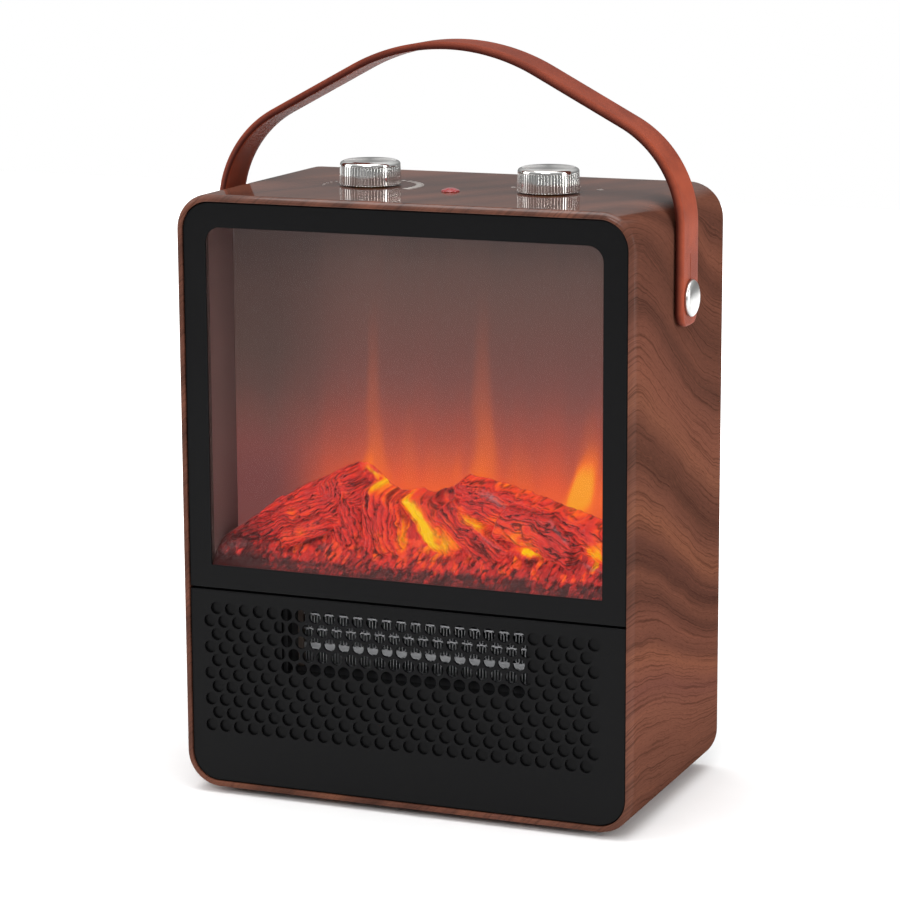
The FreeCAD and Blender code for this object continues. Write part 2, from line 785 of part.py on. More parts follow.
def log_bed():
    """Moulded ember bed: a ridge of two logs, sloped towards the pane, hollow underneath."""
    near = panel_back + 2 * fit_gap
    far = screen_front - fit_gap
    side = liner_side - fit_gap
    bed = body("log_bed", (0, far, 0))
    ridge = sketch(bed, "XZ")
    low = log_floor
    crest = [(1.0, 0.55), (0.82, 0.62), (0.24, 1.0), (0.10, 0.84), (-0.08, 0.80),
             (-0.34, 1.0), (-0.62, 0.78), (-0.92, 0.36), (-1.0, 0.24)]
    points = [(-side, low), (side, low)]
    points += [(side * across, low + log_height * rise) for across, rise in crest]
    polygon(ridge, points)
    pad(bed, ridge, far - near)
    slope = sketch(bed, "YZ")
    reach = far - near
    over = low + log_height + 1
    polygon(slope, [(-reach - 1, low + ember_height), (-ridge_flat, over), (-reach - 1, over)])
    pocket(bed, slope, 2 * width, side="Symmetric")
    under = sketch(bed, "XY", low)
    end, near_wall = side - bed_end_wall, bed_front_wall - reach
    polygon(under, [(-end, near_wall), (end, near_wall), (end, -bed_back_wall), (-end, -bed_back_wall)])
    pocket(bed, under, bed_hollow, reverse=True)


def ember_lights():
    """LED strip under the log bed."""
    low = log_floor
    middle = (panel_back + screen_front) / 2
    half = window_side - ember_board_inset
    board_top = low + board_thick
    along = (middle - ember_board_half, middle + ember_board_half)
    keep("ember_board", box("ember_plate", (-half, half), along, (low, board_top)))
    count = math.floor(2 * number(half - led_end) / number(led_pitch)) + 1
    lights = []
    for index in range(count):
        across = led_pitch * (index - (count - 1) / 2)
        spot, neck = (across, middle), board_top + led_body
        base = rod("ember_base" + str(index), "Z", spot, (board_top, neck), led_radius)
        cap = cone("ember_cap" + str(index), "Z", spot, (neck, neck + led_cap), (led_radius, led_tip_radius))
        lights.append(fuse("ember_led" + str(index), [base, cap]))
    keep("ember_leds", group("ember_led_set", lights))


spindle_z = deck_top + spindle_rise
bracket_side = window_side - bracket_inset
VANE_STEP = 50.0


def flame_spindle():
    """Turning rod whose foil vanes throw the moving flame light onto the screen."""
    centre = (spindle_y, spindle_z)
    core = rod("spindle_core", "X", centre, (-bracket_side - 4, bracket_side - 6), spindle_radius)
    parts = [core]
    reach = number(bracket_side - vane_margin)
    count = math.floor(2 * reach / number(vane_pitch)) + 1
    for index in range(count):
        across = (index - (count - 1) / 2) * vane_pitch
        vane = doc.addObject("Part::Box", "vane" + str(index))
        bind(vane, "Length", vane_pitch * vane_fill)
        bind(vane, "Width", foil_thick)
        bind(vane, "Height", vane_radius)
        place(vane, (across, spindle_y, spindle_z), Rotation(Vector(1, 0, 0), VANE_STEP * index))
        parts.append(vane)
    keep("flame_spindle", fuse("spindle_whole", parts))


def spindle_carriers():
    """Bush and bracket at the left end, motor and bracket at the right end."""
    centre = (spindle_y, spindle_z)
    hole = spindle_radius + running_gap
    plate = sheet_thick
    left = (-bracket_side, plate - bracket_side)
    along = (spindle_y - bracket_half, spindle_y + bracket_half)
    upright = box("left_upright", left, along, (deck_top, spindle_z + bracket_half))
    foot = box("left_foot", (left[0], left[0] + bracket_foot), along, (deck_top, deck_top + plate))
    seat = rod("left_seat", "X", centre, (left[0] - 1, left[1] + 1), bush_radius)
    keep("spindle_bracket_left", cut("left_bracket", fuse("left_bracket_sheet", [upright, foot]), [seat]))
    bush = rod("bush_outer", "X", centre, (left[0] - bush_lip, left[1] + bush_lip), bush_radius)
    bore = rod("bush_bore", "X", centre, (left[0] - 3, left[1] + 3), hole)
    keep("spindle_bush", cut("bush_ring", bush, [bore]))
    right = (bracket_side - plate - 4, bracket_side - 4)
    wide = spindle_motor_radius + 1
    along = (spindle_y - wide, spindle_y + wide)
    upright = box("right_upright", right, along, (deck_top, spindle_z + wide + 2))
    foot = box("right_foot", (right[1] - bracket_foot, right[1]), along, (deck_top, deck_top + plate))
    passage = rod("right_passage", "X", centre, (right[0] - 1, right[1] + 1), spindle_nose + 0.5)
    sheet = fuse("right_bracket_sheet", [upright, foot])
    keep("spindle_bracket_right", cut("right_bracket", sheet, [passage]))
    can = rod("motor_can", "X", centre, (right[1], right[1] + spindle_motor_length), spindle_motor_radius)
    nose = rod("motor_nose", "X", centre, (right[0] - 2, right[1]), spindle_nose)
    socket = rod("motor_socket", "X", centre, (right[0] - 4, right[1] + 6), hole)
    keep("spindle_motor", cut("spindle_motor_whole", fuse("spindle_motor_case", [can, nose]), [socket]))


def flame_lights():
    """Upright LED board behind the spindle."""
    back = spindle_y + vane_radius + flame_board_gap
    half = window_side - flame_board_inset
    board_high = spindle_z + flame_board_rise
    keep("flame_board", box("flame_plate", (-half, half), (back, back + board_thick), (deck_top, board_high)))
    count = math.floor(2 * number(half - led_end) / number(led_pitch)) + 1
    lights = []
    for index in range(count):
        across = led_pitch * (index - (count - 1) / 2)
        lights.append(box("flame_chip" + str(index), (across - led_radius, across + led_radius),
                          (back - chip_thick, back), (spindle_z - led_radius, spindle_z + led_radius)))
    keep("flame_leds", group("flame_led_set", lights))


def deck():
    """Steel shelf that parts the hot lower bay from the flame chamber."""
    side = side_in - 1
    back = half_depth - cover_recess - cover_plate - boss_length - 1
    plate = box("deck_plate", (-side, side), (frame_back + fit_gap, back), (deck_top - sheet_thick, deck_top))
    slot = box("deck_slot", (cable_inset - side, cable_inset + cable_slot - side),
               (back - 16, back - 8), (deck_top - 5, deck_top + 5))
    keep("partition_plate", cut("deck", plate, [slot]))


# ---------------------------------------------------------------- heater core and duct

core_front = panel_front + core_setback
core_back = core_front + core_depth
core_top = outlet_high - core_drop
rows_high = [core_top - cover_thick]
rows_high.append(rows_high[0] - fin_height - divider_thick)
rows_high.append(rows_high[1] - fin_height - bar_thick)
core_low = rows_high[2] - fin_height - cover_thick


def fin_strip(name, high):
    """Serpentine ribbon of aluminium: upright fins joined by half-round turns."""
    pitch, stock = number(fin_pitch), number(fin_stock)
    tall = number(fin_height)
    turn = pitch / 2
    low, upper = number(high) - tall + turn + stock / 2, number(high) - turn - stock / 2
    count = math.floor((2 * number(core_half) - stock) / pitch)
    start = -pitch * (count - 1) / 2
    y = number(core_front)
    edges = []

    def trace(offset):
        """One side of the ribbon; offset is half its thickness, to the left or right."""
        run = []
        for index in range(count):
            rising = index % 2 == 0
            x = start + pitch * index + (-offset if rising else offset)
            ends = (low, upper) if rising else (upper, low)
            run.append((Vector(x, y, ends[0]), Vector(x, y, ends[1])))
        return run

    left, right = trace(stock / 2), trace(-stock / 2)
    for side in (left, right):
        for index in range(count):
            edges.append(Part.LineSegment(*side[index]).toShape())
            if index + 1 < count:
                begin, finish = side[index][1], side[index + 1][0]
                reach = abs(finish.x - begin.x) / 2
                lift = reach if index % 2 == 0 else -reach
                middle = Vector((begin.x + finish.x) / 2, y, begin.z + lift)
                edges.append(Part.Arc(begin, middle, finish).toShape())
    edges.append(Part.LineSegment(left[0][0], right[0][0]).toShape())
    edges.append(Part.LineSegment(left[-1][1], right[-1][1]).toShape())
    wire = Part.Wire(Part.__sortEdges__(edges))
    return solid(name, Part.Face(wire).extrude(Vector(0, number(core_depth), 0)))


def heater_core():
    strips = [fin_strip("fin_strip" + str(index), high) for index, high in enumerate(rows_high)]
    keep("ptc_fins", group("fin_set", strips))
    across, along = (-core_half, core_half), (core_front, core_back)
    keep("ptc_heating_bar", box("bar", across, along, (rows_high[2], rows_high[2] + bar_thick)))
    plates = [
        box("plate_top", across, along, (rows_high[0], core_top)),
        box("plate_divider", across, along, (rows_high[1], rows_high[1] + divider_thick)),
        box("plate_bottom", across, along, (core_low, core_low + cover_thick)),
    ]
    keep("ptc_plates", group("plate_set", plates))
    for side, name in ((-1, "left"), (1, "right")):
        inner, outer = side * core_half, side * (duct_half - 0.2)
        span = (outer, inner) if side < 0 else (inner, outer)
        block = box("end_" + name, span, (core_front - 1, core_back + 1), (outlet_low + 0.5, core_top + 1.5))
        tools = []
        if side > 0:
            tools = [terminal(index, fit_gap / 2) for index in range(2)]
        keep("heater_end_" + name, cut("end_frame_" + name, block, tools) if tools else block)
    keep("ptc_terminals", group("terminal_set", [terminal(index + 2, 0) for index in range(2)]))


def terminal(index, ease):
    """A spade terminal that runs out of the bar through the right end frame and the duct."""
    middle = rows_high[2] + bar_thick / 2
    rise = spade_thick / 2 + ease
    shift = spade_near if index % 2 else spade_far
    along = (core_front + shift - spade_half - ease, core_front + shift + spade_half + ease)
    return box("spade" + str(index) + ("_slot" if ease else ""), (core_half, duct_half + spade_reach),
               along, (middle - rise, middle + rise))


def heater_duct():
    """Square sleeve that carries the air from the blower through the core to the outlet."""
    front_end = frame_back + duct_ease
    outer = box("duct_outer", (-duct_half - duct_wall, duct_half + duct_wall), (front_end, duct_back),
                (outlet_low - duct_wall, outlet_high + duct_wall))
    inner = box("duct_inner", (-duct_half, duct_half), (front_end - 1, duct_back + 1),
                (outlet_low, outlet_high))
    slots = [box("duct_slot" + str(index), (duct_half - 1, duct_half + 4),
                 (core_front + shift - 3, core_front + shift + 3),
                 (rows_high[2] - 1, rows_high[2] + bar_thick + 1))
             for index, shift in enumerate((spade_near, spade_far))]
    keep("heater_duct", cut("duct_sleeve", outer, [inner] + slots))
    centre = ((core_front + core_back) / 2, outlet_high - cutout_drop)
    wall_out = -duct_half - duct_wall
    can = rod("cutout_can", "X", (centre[0], centre[1]), (wall_out - 9, wall_out), cutout_radius)
    lug = cutout_radius + 5
    flange = box("cutout_flange", (wall_out - 1.5, wall_out), (centre[0] - lug, centre[0] + lug),
                 (centre[1] - 4, centre[1] + 4))
    keep("thermal_cutout", fuse("cutout", [can, flange]))


# ---------------------------------------------------------------- blower

rotor_y = duct_back + tongue_gap + rotor_radius
rotor_z = outlet_high - rotor_radius - scroll_gap
plate_inner = duct_half
plate_outer = duct_half + duct_wall
housing_back = rotor_y + rotor_radius + scroll_gap + duct_wall + 2


def ring_sector(centre, inner, outer, begin, finish, x_from, x_to):
    """A curved wall: part of a ring about an axis along X, between two angles in degrees."""
    def at(radius, angle):
        turn = math.radians(angle)
        return Vector(x_from, centre[0] + radius * math.cos(turn), centre[1] + radius * math.sin(turn))

    middle = (begin + finish) / 2
    edges = [
        Part.Arc(at(inner, begin), at(inner, middle), at(inner, finish)).toShape(),
        Part.LineSegment(at(inner, finish), at(outer, finish)).toShape(),
        Part.Arc(at(outer, finish), at(outer, middle), at(outer, begin)).toShape(),
        Part.LineSegment(at(outer, begin), at(inner, begin)).toShape(),
    ]
    return Part.Face(Part.Wire(edges)).extrude(Vector(x_to - x_from, 0, 0))


def side_plate(name, across):
    """End wall of the blower; it also stands on the cabinet floor."""
    return box(name, across, (duct_back + duct_ease, housing_back),
               (floor_in + duct_ease, outlet_high + duct_wall))


def blower_housing():
    """Scroll wall over and behind the rotor, tongue under the duct, and the right end plate."""
    half, gap = number(plate_inner), number(rotor_radius + scroll_gap)
    centre = (number(rotor_y), number(rotor_z))
    scroll = solid("scroll", ring_sector(centre, gap, gap + number(duct_wall), -35, 90, -half, half))
    roof = box("scroll_roof", (-plate_inner, plate_inner), (duct_back + duct_ease, rotor_y),
               (outlet_high, outlet_high + duct_wall))
    tongue = box("tongue", (-plate_inner, plate_inner), (duct_back + duct_ease, duct_back + tongue_depth),
                 (outlet_low - duct_wall, outlet_low))
    right = side_plate("plate_right", (plate_inner, plate_outer))
    passage = rod("shaft_passage", "X", (rotor_y, rotor_z), (plate_inner - 1, plate_outer + 1), 7)
    keep("blower_housing", cut("housing", fuse("housing_whole", [scroll, roof, tongue, right]), [passage]))
    left = side_plate("plate_left", (-plate_outer, -plate_inner))
    seat = rod("bush_seat", "X", (rotor_y, rotor_z), (-plate_outer - 1, 1 - plate_inner), 5)
    keep("blower_side_plate", cut("left_plate", left, [seat]))
    bush = rod("blower_bush_outer", "X", (rotor_y, rotor_z), (-plate_outer - 1.5, 1.5 - plate_inner), 5)
    bore = rod("blower_bush_bore", "X", (rotor_y, rotor_z), (-plate_outer - 3, 3 - plate_inner),
               shaft_radius + running_gap)
    keep("blower_bush", cut("blower_bush_ring", bush, [bore]))


BLADE_COUNT = 24
BLADE_SWEEP = 75


def blower_rotor():
    """Cross-flow wheel: curved blades between discs, whose rims stand just proud of the blades."""
    outer, half = number(rotor_radius - blade_inset), number(rotor_half - disc_thick / 2)
    centre = (number(rotor_y), number(rotor_z))
    stock = number(blade_stock)
    bow = number(blade_bow)
    blades = []
    for index in range(BLADE_COUNT):
        turn = 360 / BLADE_COUNT * index
        hub = (centre[0] + (outer - bow) * math.cos(math.radians(turn)),
               centre[1] + (outer - bow) * math.sin(math.radians(turn)))
        blades.append(ring_sector(hub, bow - stock, bow, turn - BLADE_SWEEP, turn + 5, -half, half))
    parts = [solid("blade" + str(index), shape) for index, shape in enumerate(blades)]
    for index, place_at in enumerate((-rotor_half, -disc_thick / 2, rotor_half - disc_thick)):
        span = (place_at, place_at + disc_thick)
        parts.append(rod("disc" + str(index), "X", (rotor_y, rotor_z), span, rotor_radius))
    bore = rod("rotor_bore", "X", (rotor_y, rotor_z), (-rotor_half - 1, rotor_half + 1), shaft_radius)
    keep("blower_rotor", cut("rotor_bored", fuse("rotor_whole", parts), [bore]))
    ends = (-plate_outer - 2, motor_high + 6)
    keep("blower_shaft", rod("shaft", "X", (rotor_y, rotor_z), ends, shaft_radius))


motor_low = plate_outer + motor_gap
motor_high = motor_low + stack_length
motor_half = motor_side / 2


def blower_motor():
    """Shaded-pole motor: laminated frame, coil, rotor, two bearing brackets and long screws."""
    ends = (motor_low, motor_high)
    along = (rotor_y - motor_half, rotor_y + motor_half)
    frame_low = rotor_z - motor_half - leg_drop
    stack = box("stack", ends, along, (frame_low, rotor_z + motor_half - 6))
    beyond = (motor_low - 1, motor_high + 1)
    gap_half = coil_half + 2
    window = box("stack_window", beyond, (rotor_y - gap_half, rotor_y + gap_half),
                 (frame_low + 10, rotor_z - motor_half + 8))
    bore = rod("stack_bore", "X", (rotor_y, rotor_z), beyond, motor_rotor_radius + air_gap)
    holes = [rod("stack_hole" + str(index), "X", (rotor_y + side * bearing_reach, rotor_z),
                 (motor_low - 1, motor_high + 1), screw_radius) for index, side in enumerate((-1, 1))]
    keep("motor_stator", cut("stator", stack, [window, bore] + holes))
    winding = box("winding", (motor_low - coil_end, motor_high + coil_end),
                  (rotor_y - coil_half, rotor_y + coil_half),
                  (frame_low - 5, frame_low + 16))
    slot = box("winding_slot", (motor_low - 0.2, motor_high + 0.2),
               (rotor_y - gap_half - 2, rotor_y + gap_half + 2),
               (frame_low - 0.2, frame_low + 10.2))
    keep("motor_coil", cut("coil", winding, [slot]))
    drum = rod("drum", "X", (rotor_y, rotor_z), (motor_low - 0.5, motor_high + 0.5), motor_rotor_radius)
    drum_bore = rod("drum_bore", "X", (rotor_y, rotor_z), (motor_low - 2, motor_high + 2), shaft_radius)
    keep("motor_rotor", cut("motor_drum", drum, [drum_bore]))
    brackets = []
    for index, low in enumerate((plate_outer + 0.6, motor_high + 1)):
        reach = bearing_reach + bearing_end
        strip = box("bearing_strip" + str(index), (low, low + bearing_sheet),
                    (rotor_y - reach, rotor_y + reach),
                    (rotor_z - bearing_half, rotor_z + bearing_half))
        bore = rod("bearing_bore" + str(index), "X", (rotor_y, rotor_z), (low - 3, low + 6),
                   shaft_radius + running_gap)
        eyes = [rod("bearing_eye" + str(index) + str(side), "X", (rotor_y + side * bearing_reach, rotor_z),
                    (low - 1, low + 3), screw_radius) for side in (-1, 1)]
        brackets.append(cut("bearing" + str(index), strip, [bore] + eyes))
    keep("motor_brackets", group("bearing_set", brackets))
    screws = [screw("long_screw" + str(index), "X", (rotor_y + side * bearing_reach, rotor_z),
                    motor_high + 3 + head_thick, -1, motor_high + 3 - plate_outer, shank=screw_radius - 0.1)
              for index, side in enumerate((-1, 1))]
    keep("motor_screws", group("long_screws", screws))


# ---------------------------------------------------------------- controls

FLUTE_COUNT = 60
THERMOSTAT_POINTER = 200
SELECTOR_POINTER = 149

def control(label, across, pointer):
    """A rotary switch under the roof, its nut and spindle, and the fluted knob, its pointer at an angle."""
    spot = (across, knob_y)
    case_low = roof_in - switch_drop
    knob_low = top + knob_lift
    knob_high = top + knob_height
    case = box(label + "_case", (across - switch_half, across + switch_half),
               (knob_y - switch_half + 2, knob_y + switch_half - 2), (case_low, roof_in))
    neck = rod(label + "_neck", "Z", spot, (roof_in, top + nut_thick + 1.5), neck_radius)
    bore = rod(label + "_bore", "Z", spot, (case_low + 3, knob_high), stem_radius + running_gap)
    tags = box(label + "_tags", (across - 10, across + 10), (knob_y - 4, knob_y + 4), (case_low - 5, case_low))
    keep(label + "_body", cut(label + "_bored", fuse(label + "_block", [case, neck, tags]), [bore]))
    nut_blank = hexagon(label + "_nut_blank", spot, (top, top + nut_thick), nut_width)
    thread = rod(label + "_thread", "Z", spot, (top - 1, top + nut_thick + 1), neck_radius)
    keep(label + "_nut", cut(label + "_nut_ring", nut_blank, [thread]))
    stem_top = knob_high - 3
    keep(label + "_spindle", rod(label + "_stem", "Z", spot, (case_low + 4, stem_top), stem_radius))
    knob = body(label + "_knob", (across, knob_y, knob_low))
    profile = sketch(knob, "XZ")
    tall = knob_high - knob_low
    brow, rise = tall - knob_shoulder, tall - knob_crown
    polygon(profile, [
        (0, 0), (knob_radius, 0), (knob_radius, brow), (knob_radius - knob_step, brow + knob_step + 0.15),
        (knob_radius - knob_ease, rise - 0.15), (knob_radius - knob_ease - 0.7, rise), (0, tall)])
    turned = knob.newObject("PartDesign::Revolution", label + "_turned")
    turned.Profile = profile
    turned.ReferenceAxis = (profile, ["V_Axis"])
    turned.Angle = 360
    hollow = sketch(knob, "XY")
    ring(hollow, (0, 0), knob_radius - knob_wall)
    pocket(knob, hollow, nut_thick + 3, reverse=True)
    socket = sketch(knob, "XY")
    ring(socket, (0, 0), stem_radius)
    pocket(knob, socket, stem_top - knob_low, reverse=True)
    groove = sketch(knob, "XY")
    ring(groove, (knob_radius + flute_radius * 0.35, 0), flute_radius)
    flute = pocket(knob, groove, brow - 0.5, reverse=True)
    flutes = knob.newObject("PartDesign::PolarPattern", label + "_flutes")
    flutes.Originals = [flute]
    flutes.Axis = (groove, ["N_Axis"])
    flutes.Angle = 360
    flutes.Occurrences = FLUTE_COUNT
    knob.Tip = flutes
    mark = sketch(knob, "XY", tall)
    mark.AttachmentOffset = Placement(Vector(0, 0, number(tall)), Rotation(Vector(0, 0, 1), pointer))
    far = knob_radius - pointer_margin
    half = pointer_width / 2
    polygon(mark, [(far - pointer_length, -half), (far, -half), (far, half), (far - pointer_length, half)])
    pocket(knob, mark, pointer_depth)


def pilot_light():
    """Red lens in the roof with its lamp below."""
    spot = (lens_x, lens_y)
    stem = rod("lens_stem", "Z", spot, (roof_in - 4, top), lens_radius - lens_step)
    brow = top + lens_rim
    rim = cone("lens_rim", "Z", spot, (top, brow), (lens_radius, lens_radius - 0.5))
    dome = cone("lens_dome", "Z", spot, (brow, brow + lens_bulge), (lens_radius - 0.5, lens_radius - 2.6))
    seat = rod("lens_seat", "Z", spot, (roof_in - 6, roof_in + 1), lamp_radius + fit_gap)
    keep("pilot_lens", cut("lens", fuse("lens_whole", [stem, rim, dome]), [seat]))
    bulb = rod("lamp_bulb", "Z", spot, (roof_in - 12, roof_in - 1), lamp_radius)
    keep("pilot_lamp", bulb)


# ---------------------------------------------------------------- carry strap

def strap_profile(inset):
    """Half outline of the arch: leg, shoulder arc, straight slope, crown arc up to the middle."""
    turn = math.radians(number(strap_slope))
    leg = number(strap_outer) - inset
    high = number(strap_top) - inset
    crown, shoulder = number(crown_radius) - inset, number(shoulder_radius) - inset
    crown_x = crown * math.sin(turn)
    crown_z = high - crown * (1 - math.cos(turn))
    shoulder_x = leg - shoulder * (1 - math.sin(turn))
    shoulder_z = crown_z - (shoulder_x - crown_x) * math.tan(turn)
    middle = (math.pi / 2 - turn) / 2
    return {
        "leg_end": (leg, shoulder_z - shoulder * math.cos(turn)),
        "shoulder_middle": (leg - shoulder + shoulder * math.cos(middle),
                            shoulder_z - shoulder * math.cos(turn) + shoulder * math.sin(middle)),
        "shoulder_end": (shoulder_x, shoulder_z),
        "crown_start": (crown_x, crown_z),
        "top": (0.0, high),
    }


def carry_strap():
    """Leather strap: one band bent into an arch, ends rounded, a keyhole at each stud."""
    wide, thick = number(strap_width), number(strap_thick)
    low = number(stud_height) - number(strap_tail)
    edges = []
    for inset in (0, thick):
        half = strap_profile(inset)

        def at(name, side):
            return Vector(side * half[name][0], 0, half[name][1])

        foot = half["leg_end"][0]
        for side in (-1, 1):
            edges.append(Part.LineSegment(Vector(side * foot, 0, low), at("leg_end", side)).toShape())
            edges.append(Part.Arc(at("leg_end", side), at("shoulder_middle", side),
                                  at("shoulder_end", side)).toShape())
            edges.append(Part.LineSegment(at("shoulder_end", side), at("crown_start", side)).toShape())
        edges.append(Part.Arc(at("crown_start", -1), at("top", 1), at("crown_start", 1)).toShape())
    outer, inner = number(strap_outer), number(strap_inner)
    for side in (-1, 1):
        edges.append(Part.LineSegment(Vector(side * outer, 0, low), Vector(side * inner, 0, low)).toShape())
    face = Part.Face(Part.Wire(Part.__sortEdges__(edges)))
    face.translate(Vector(0, -wide / 2, 0))
    band = face.extrude(Vector(0, wide, 0))
    ends = [edge for edge in band.Edges
            if lies_at(edge, "Z", low) and edge.BoundBox.YLength < 0.01]
    band = band.makeFillet(number(strap_corner), ends)
    rims = [edge for edge in band.Edges
            if edge.BoundBox.YLength < 0.01 and abs(edge.BoundBox.YMin) > wide / 2 - 0.01]
    band = band.makeChamfer(number(strap_bevel), rims)
    plain = solid("strap_band", band)
    tools = []
    for index, side in enumerate((-1, 1)):
        span = (strap_inner - 1, strap_outer + 1) if side > 0 else (-strap_outer - 1, 1 - strap_inner)
        tools.append(rod("strap_eye" + str(index), "X", (0, stud_height), span, stem_radius + running_gap))
        tools.append(box("strap_slit" + str(index), span, (-slit_width / 2, slit_width / 2),
                         (stud_height, stud_height + stem_radius + slit_length)))
    keep("carry_strap", cut("strap_cut", plain, tools))


def strap_studs():
    """Domed studs: collar against the cabinet, neck through the strap, head outside, nut inside."""
    studs, nuts = [], []
    for side, name in ((-1, "left"), (1, "right")):
        def span(near, far):
            return (near, far) if side > 0 else (-far, -near)

        centre = (0, stud_height)
        collar = rod(name + "_collar", "X", centre, span(half_width, half_width + strap_gap - fit_gap),
                     collar_radius)
        neck = rod(name + "_neck", "X", centre, span(half_width, strap_outer + fit_gap), stem_radius)
        head_near = strap_outer + fit_gap
        radii = (stud_radius, stud_radius - stud_bevel)
        rim = cone(name + "_rim", "X", centre, span(head_near, head_near + stud_rim),
                   radii if side > 0 else radii[::-1])
        dome = doc.addObject("Part::Sphere", name + "_dome")
        bulge = (stud_radius * stud_radius + stud_dome * stud_dome) / (2 * stud_dome)
        bind(dome, "Radius", bulge)
        place(dome, (side * (head_near + 0.6 + stud_dome - bulge), 0, stud_height))
        blank = rod(name + "_blank", "X", centre, span(head_near + stud_rim / 2, head_near + stud_dome + 2),
                    stud_radius - stud_bevel)
        crown = doc.addObject("Part::Common", name + "_crown")
        crown.Base = dome
        crown.Tool = blank
        shank = rod(name + "_shank", "X", centre, span(side_in - 6, half_width), screw_radius)
        studs.append(fuse(name + "_stud", [collar, neck, rim, crown, shank]))
        nut = rod(name + "_nut_blank", "X", centre, span(side_in - 3, side_in), 4)
        thread = rod(name + "_nut_thread", "X", centre, span(side_in - 4, side_in + 1), screw_radius)
        nuts.append(cut(name + "_stud_nut", nut, [thread]))
    keep("strap_studs", group("stud_set", studs))
    keep("stud_nuts", group("stud_nut_set", nuts))


# ---------------------------------------------------------------- base and back fittings

def feet():
    """Four rubber feet, each held by a screw up into the floor of the sleeve."""
    foot_x, foot_y = half_width - foot_inset_x, half_depth - foot_inset_y
    foot_skin = foot_height - 1

    def foot(index, x, y):
        pad_ring = cone("foot_pad" + str(index), "Z", (x, y), (0, foot_height), (foot_radius - 1, foot_radius))
        seat = rod("foot_seat" + str(index), "Z", (x, y), (-1, foot_skin), head_radius + fit_gap)
        hole = rod("foot_hole" + str(index), "Z", (x, y), (-1, foot_height + 1), screw_radius)
        return cut("foot" + str(index), pad_ring, [seat, hole])

    def foot_screw(index, x, y):
        return screw("foot_screw" + str(index), "Z", (x, y), foot_skin - foot_head, 1,
                     foot_height - foot_skin + wall + 2, thick=foot_head)

    spots = ((-foot_x, foot_x), (-foot_y, foot_y))
    keep("rubber_feet", group("foot_set", four_corners(foot, *spots)))
    made = four_corners(foot_screw, *spots)
    keep("foot_screws", group("foot_screw_set", made))


SPRING_COILS = 5


def tip_switch():
    """Safety switch on the floor: its plunger reaches the table through the sleeve."""
    spot = (plunger_x, plunger_y)
    low, high = floor_in + duct_ease, floor_in + tip_case_height
    case = box("tip_case", (plunger_x - tip_case_x, plunger_x + tip_case_x),
               (plunger_y - tip_case_y, plunger_y + tip_case_y), (low, high))
    bore = rod("tip_bore", "Z", spot, (low - 1, high - 2), plunger_radius + plunger_collar + fit_gap)
    keep("tip_switch_body", cut("tip_body", case, [bore]))
    pin = rod("tip_pin", "Z", spot, (0, low + 5), plunger_radius)
    collar = rod("tip_collar", "Z", spot, (low + 5, low + 7), plunger_radius + plunger_collar)
    keep("tip_switch_plunger", fuse("tip_plunger", [pin, collar]))
    wire = number(spring_wire)
    coil_low, coil_high = number(low) + 7 + wire, number(high) - 2 - wire
    rise = coil_high - coil_low
    helix = Part.makeHelix(rise / SPRING_COILS, rise, number(plunger_radius) + 0.2)
    helix.translate(Vector(number(plunger_x), number(plunger_y), coil_low))
    start = helix.Edges[0].valueAt(helix.Edges[0].FirstParameter)
    facing = helix.Edges[0].tangentAt(helix.Edges[0].FirstParameter)
    section = Part.Wire(Part.Circle(start, facing, wire).toShape())
    spring = Part.Wire(helix.Edges).makePipeShell([section], True, True)
    keep("tip_switch_spring", solid("tip_spring", spring))


def rear_fittings():
    """Cord gland in the rear cover and the terminal block behind it."""
    centre = (gland_x, floor_in + gland_rise)
    back_face = half_depth - cover_recess
    flange = rod("gland_flange", "Y", centre, (back_face, back_face + gland_flange), gland_radius + 2)
    nose = cone("gland_nose", "Y", centre, (back_face + gland_flange, half_depth),
                (gland_radius, gland_radius - 1))
    neck = rod("gland_neck", "Y", centre, (back_face - cover_plate - 4, back_face), gland_radius)
    passage = rod("gland_bore", "Y", centre, (back_face - 20, half_depth + 1), cord_radius)
    keep("cord_gland", cut("gland", fuse("gland_whole", [flange, nose, neck]), [passage]))
    low = floor_in + duct_ease
    back = half_depth - block_back
    block = box("terminal_base", (gland_x - 18, gland_x + 8), (back - block_deep, back), (low, low + 12))
    wells = [rod("terminal_well" + str(index), "Z", (gland_x - 14 + 9 * index, back - block_deep / 2),
                 (low + 5, low + 13), 2)
             for index in range(3)]
    keep("terminal_block", cut("terminals", block, wells))


def driver_board():
    """Small supply for the LEDs, on the deck behind the flame board."""
    low = deck_top + 3
    board_top = low + board_thick
    back = half_depth - driver_back
    middle = back - driver_deep / 2
    plate = box("driver_plate", (-driver_half, driver_half), (back - driver_deep, back), (low, board_top))
    capacitor = rod("driver_capacitor", "Z", (12 - driver_half, middle), (board_top, board_top + 14), 5)
    chip = box("driver_chip", (-6, 6), (middle - 4, middle + 4), (board_top, board_top + 4))
    coil = box("driver_coil", (driver_half - 20, driver_half - 6), (middle - 6, middle + 6),
               (board_top, board_top + 11))
    posts = four_corners(lambda index, x, y: rod("driver_post" + str(index), "Z", (x, y), (deck_top, low), 2),
                         (4 - driver_half, driver_half - 4), (middle - 6, middle + 6))
    keep("led_driver", fuse("driver", [plate, capacitor, chip, coil] + posts))


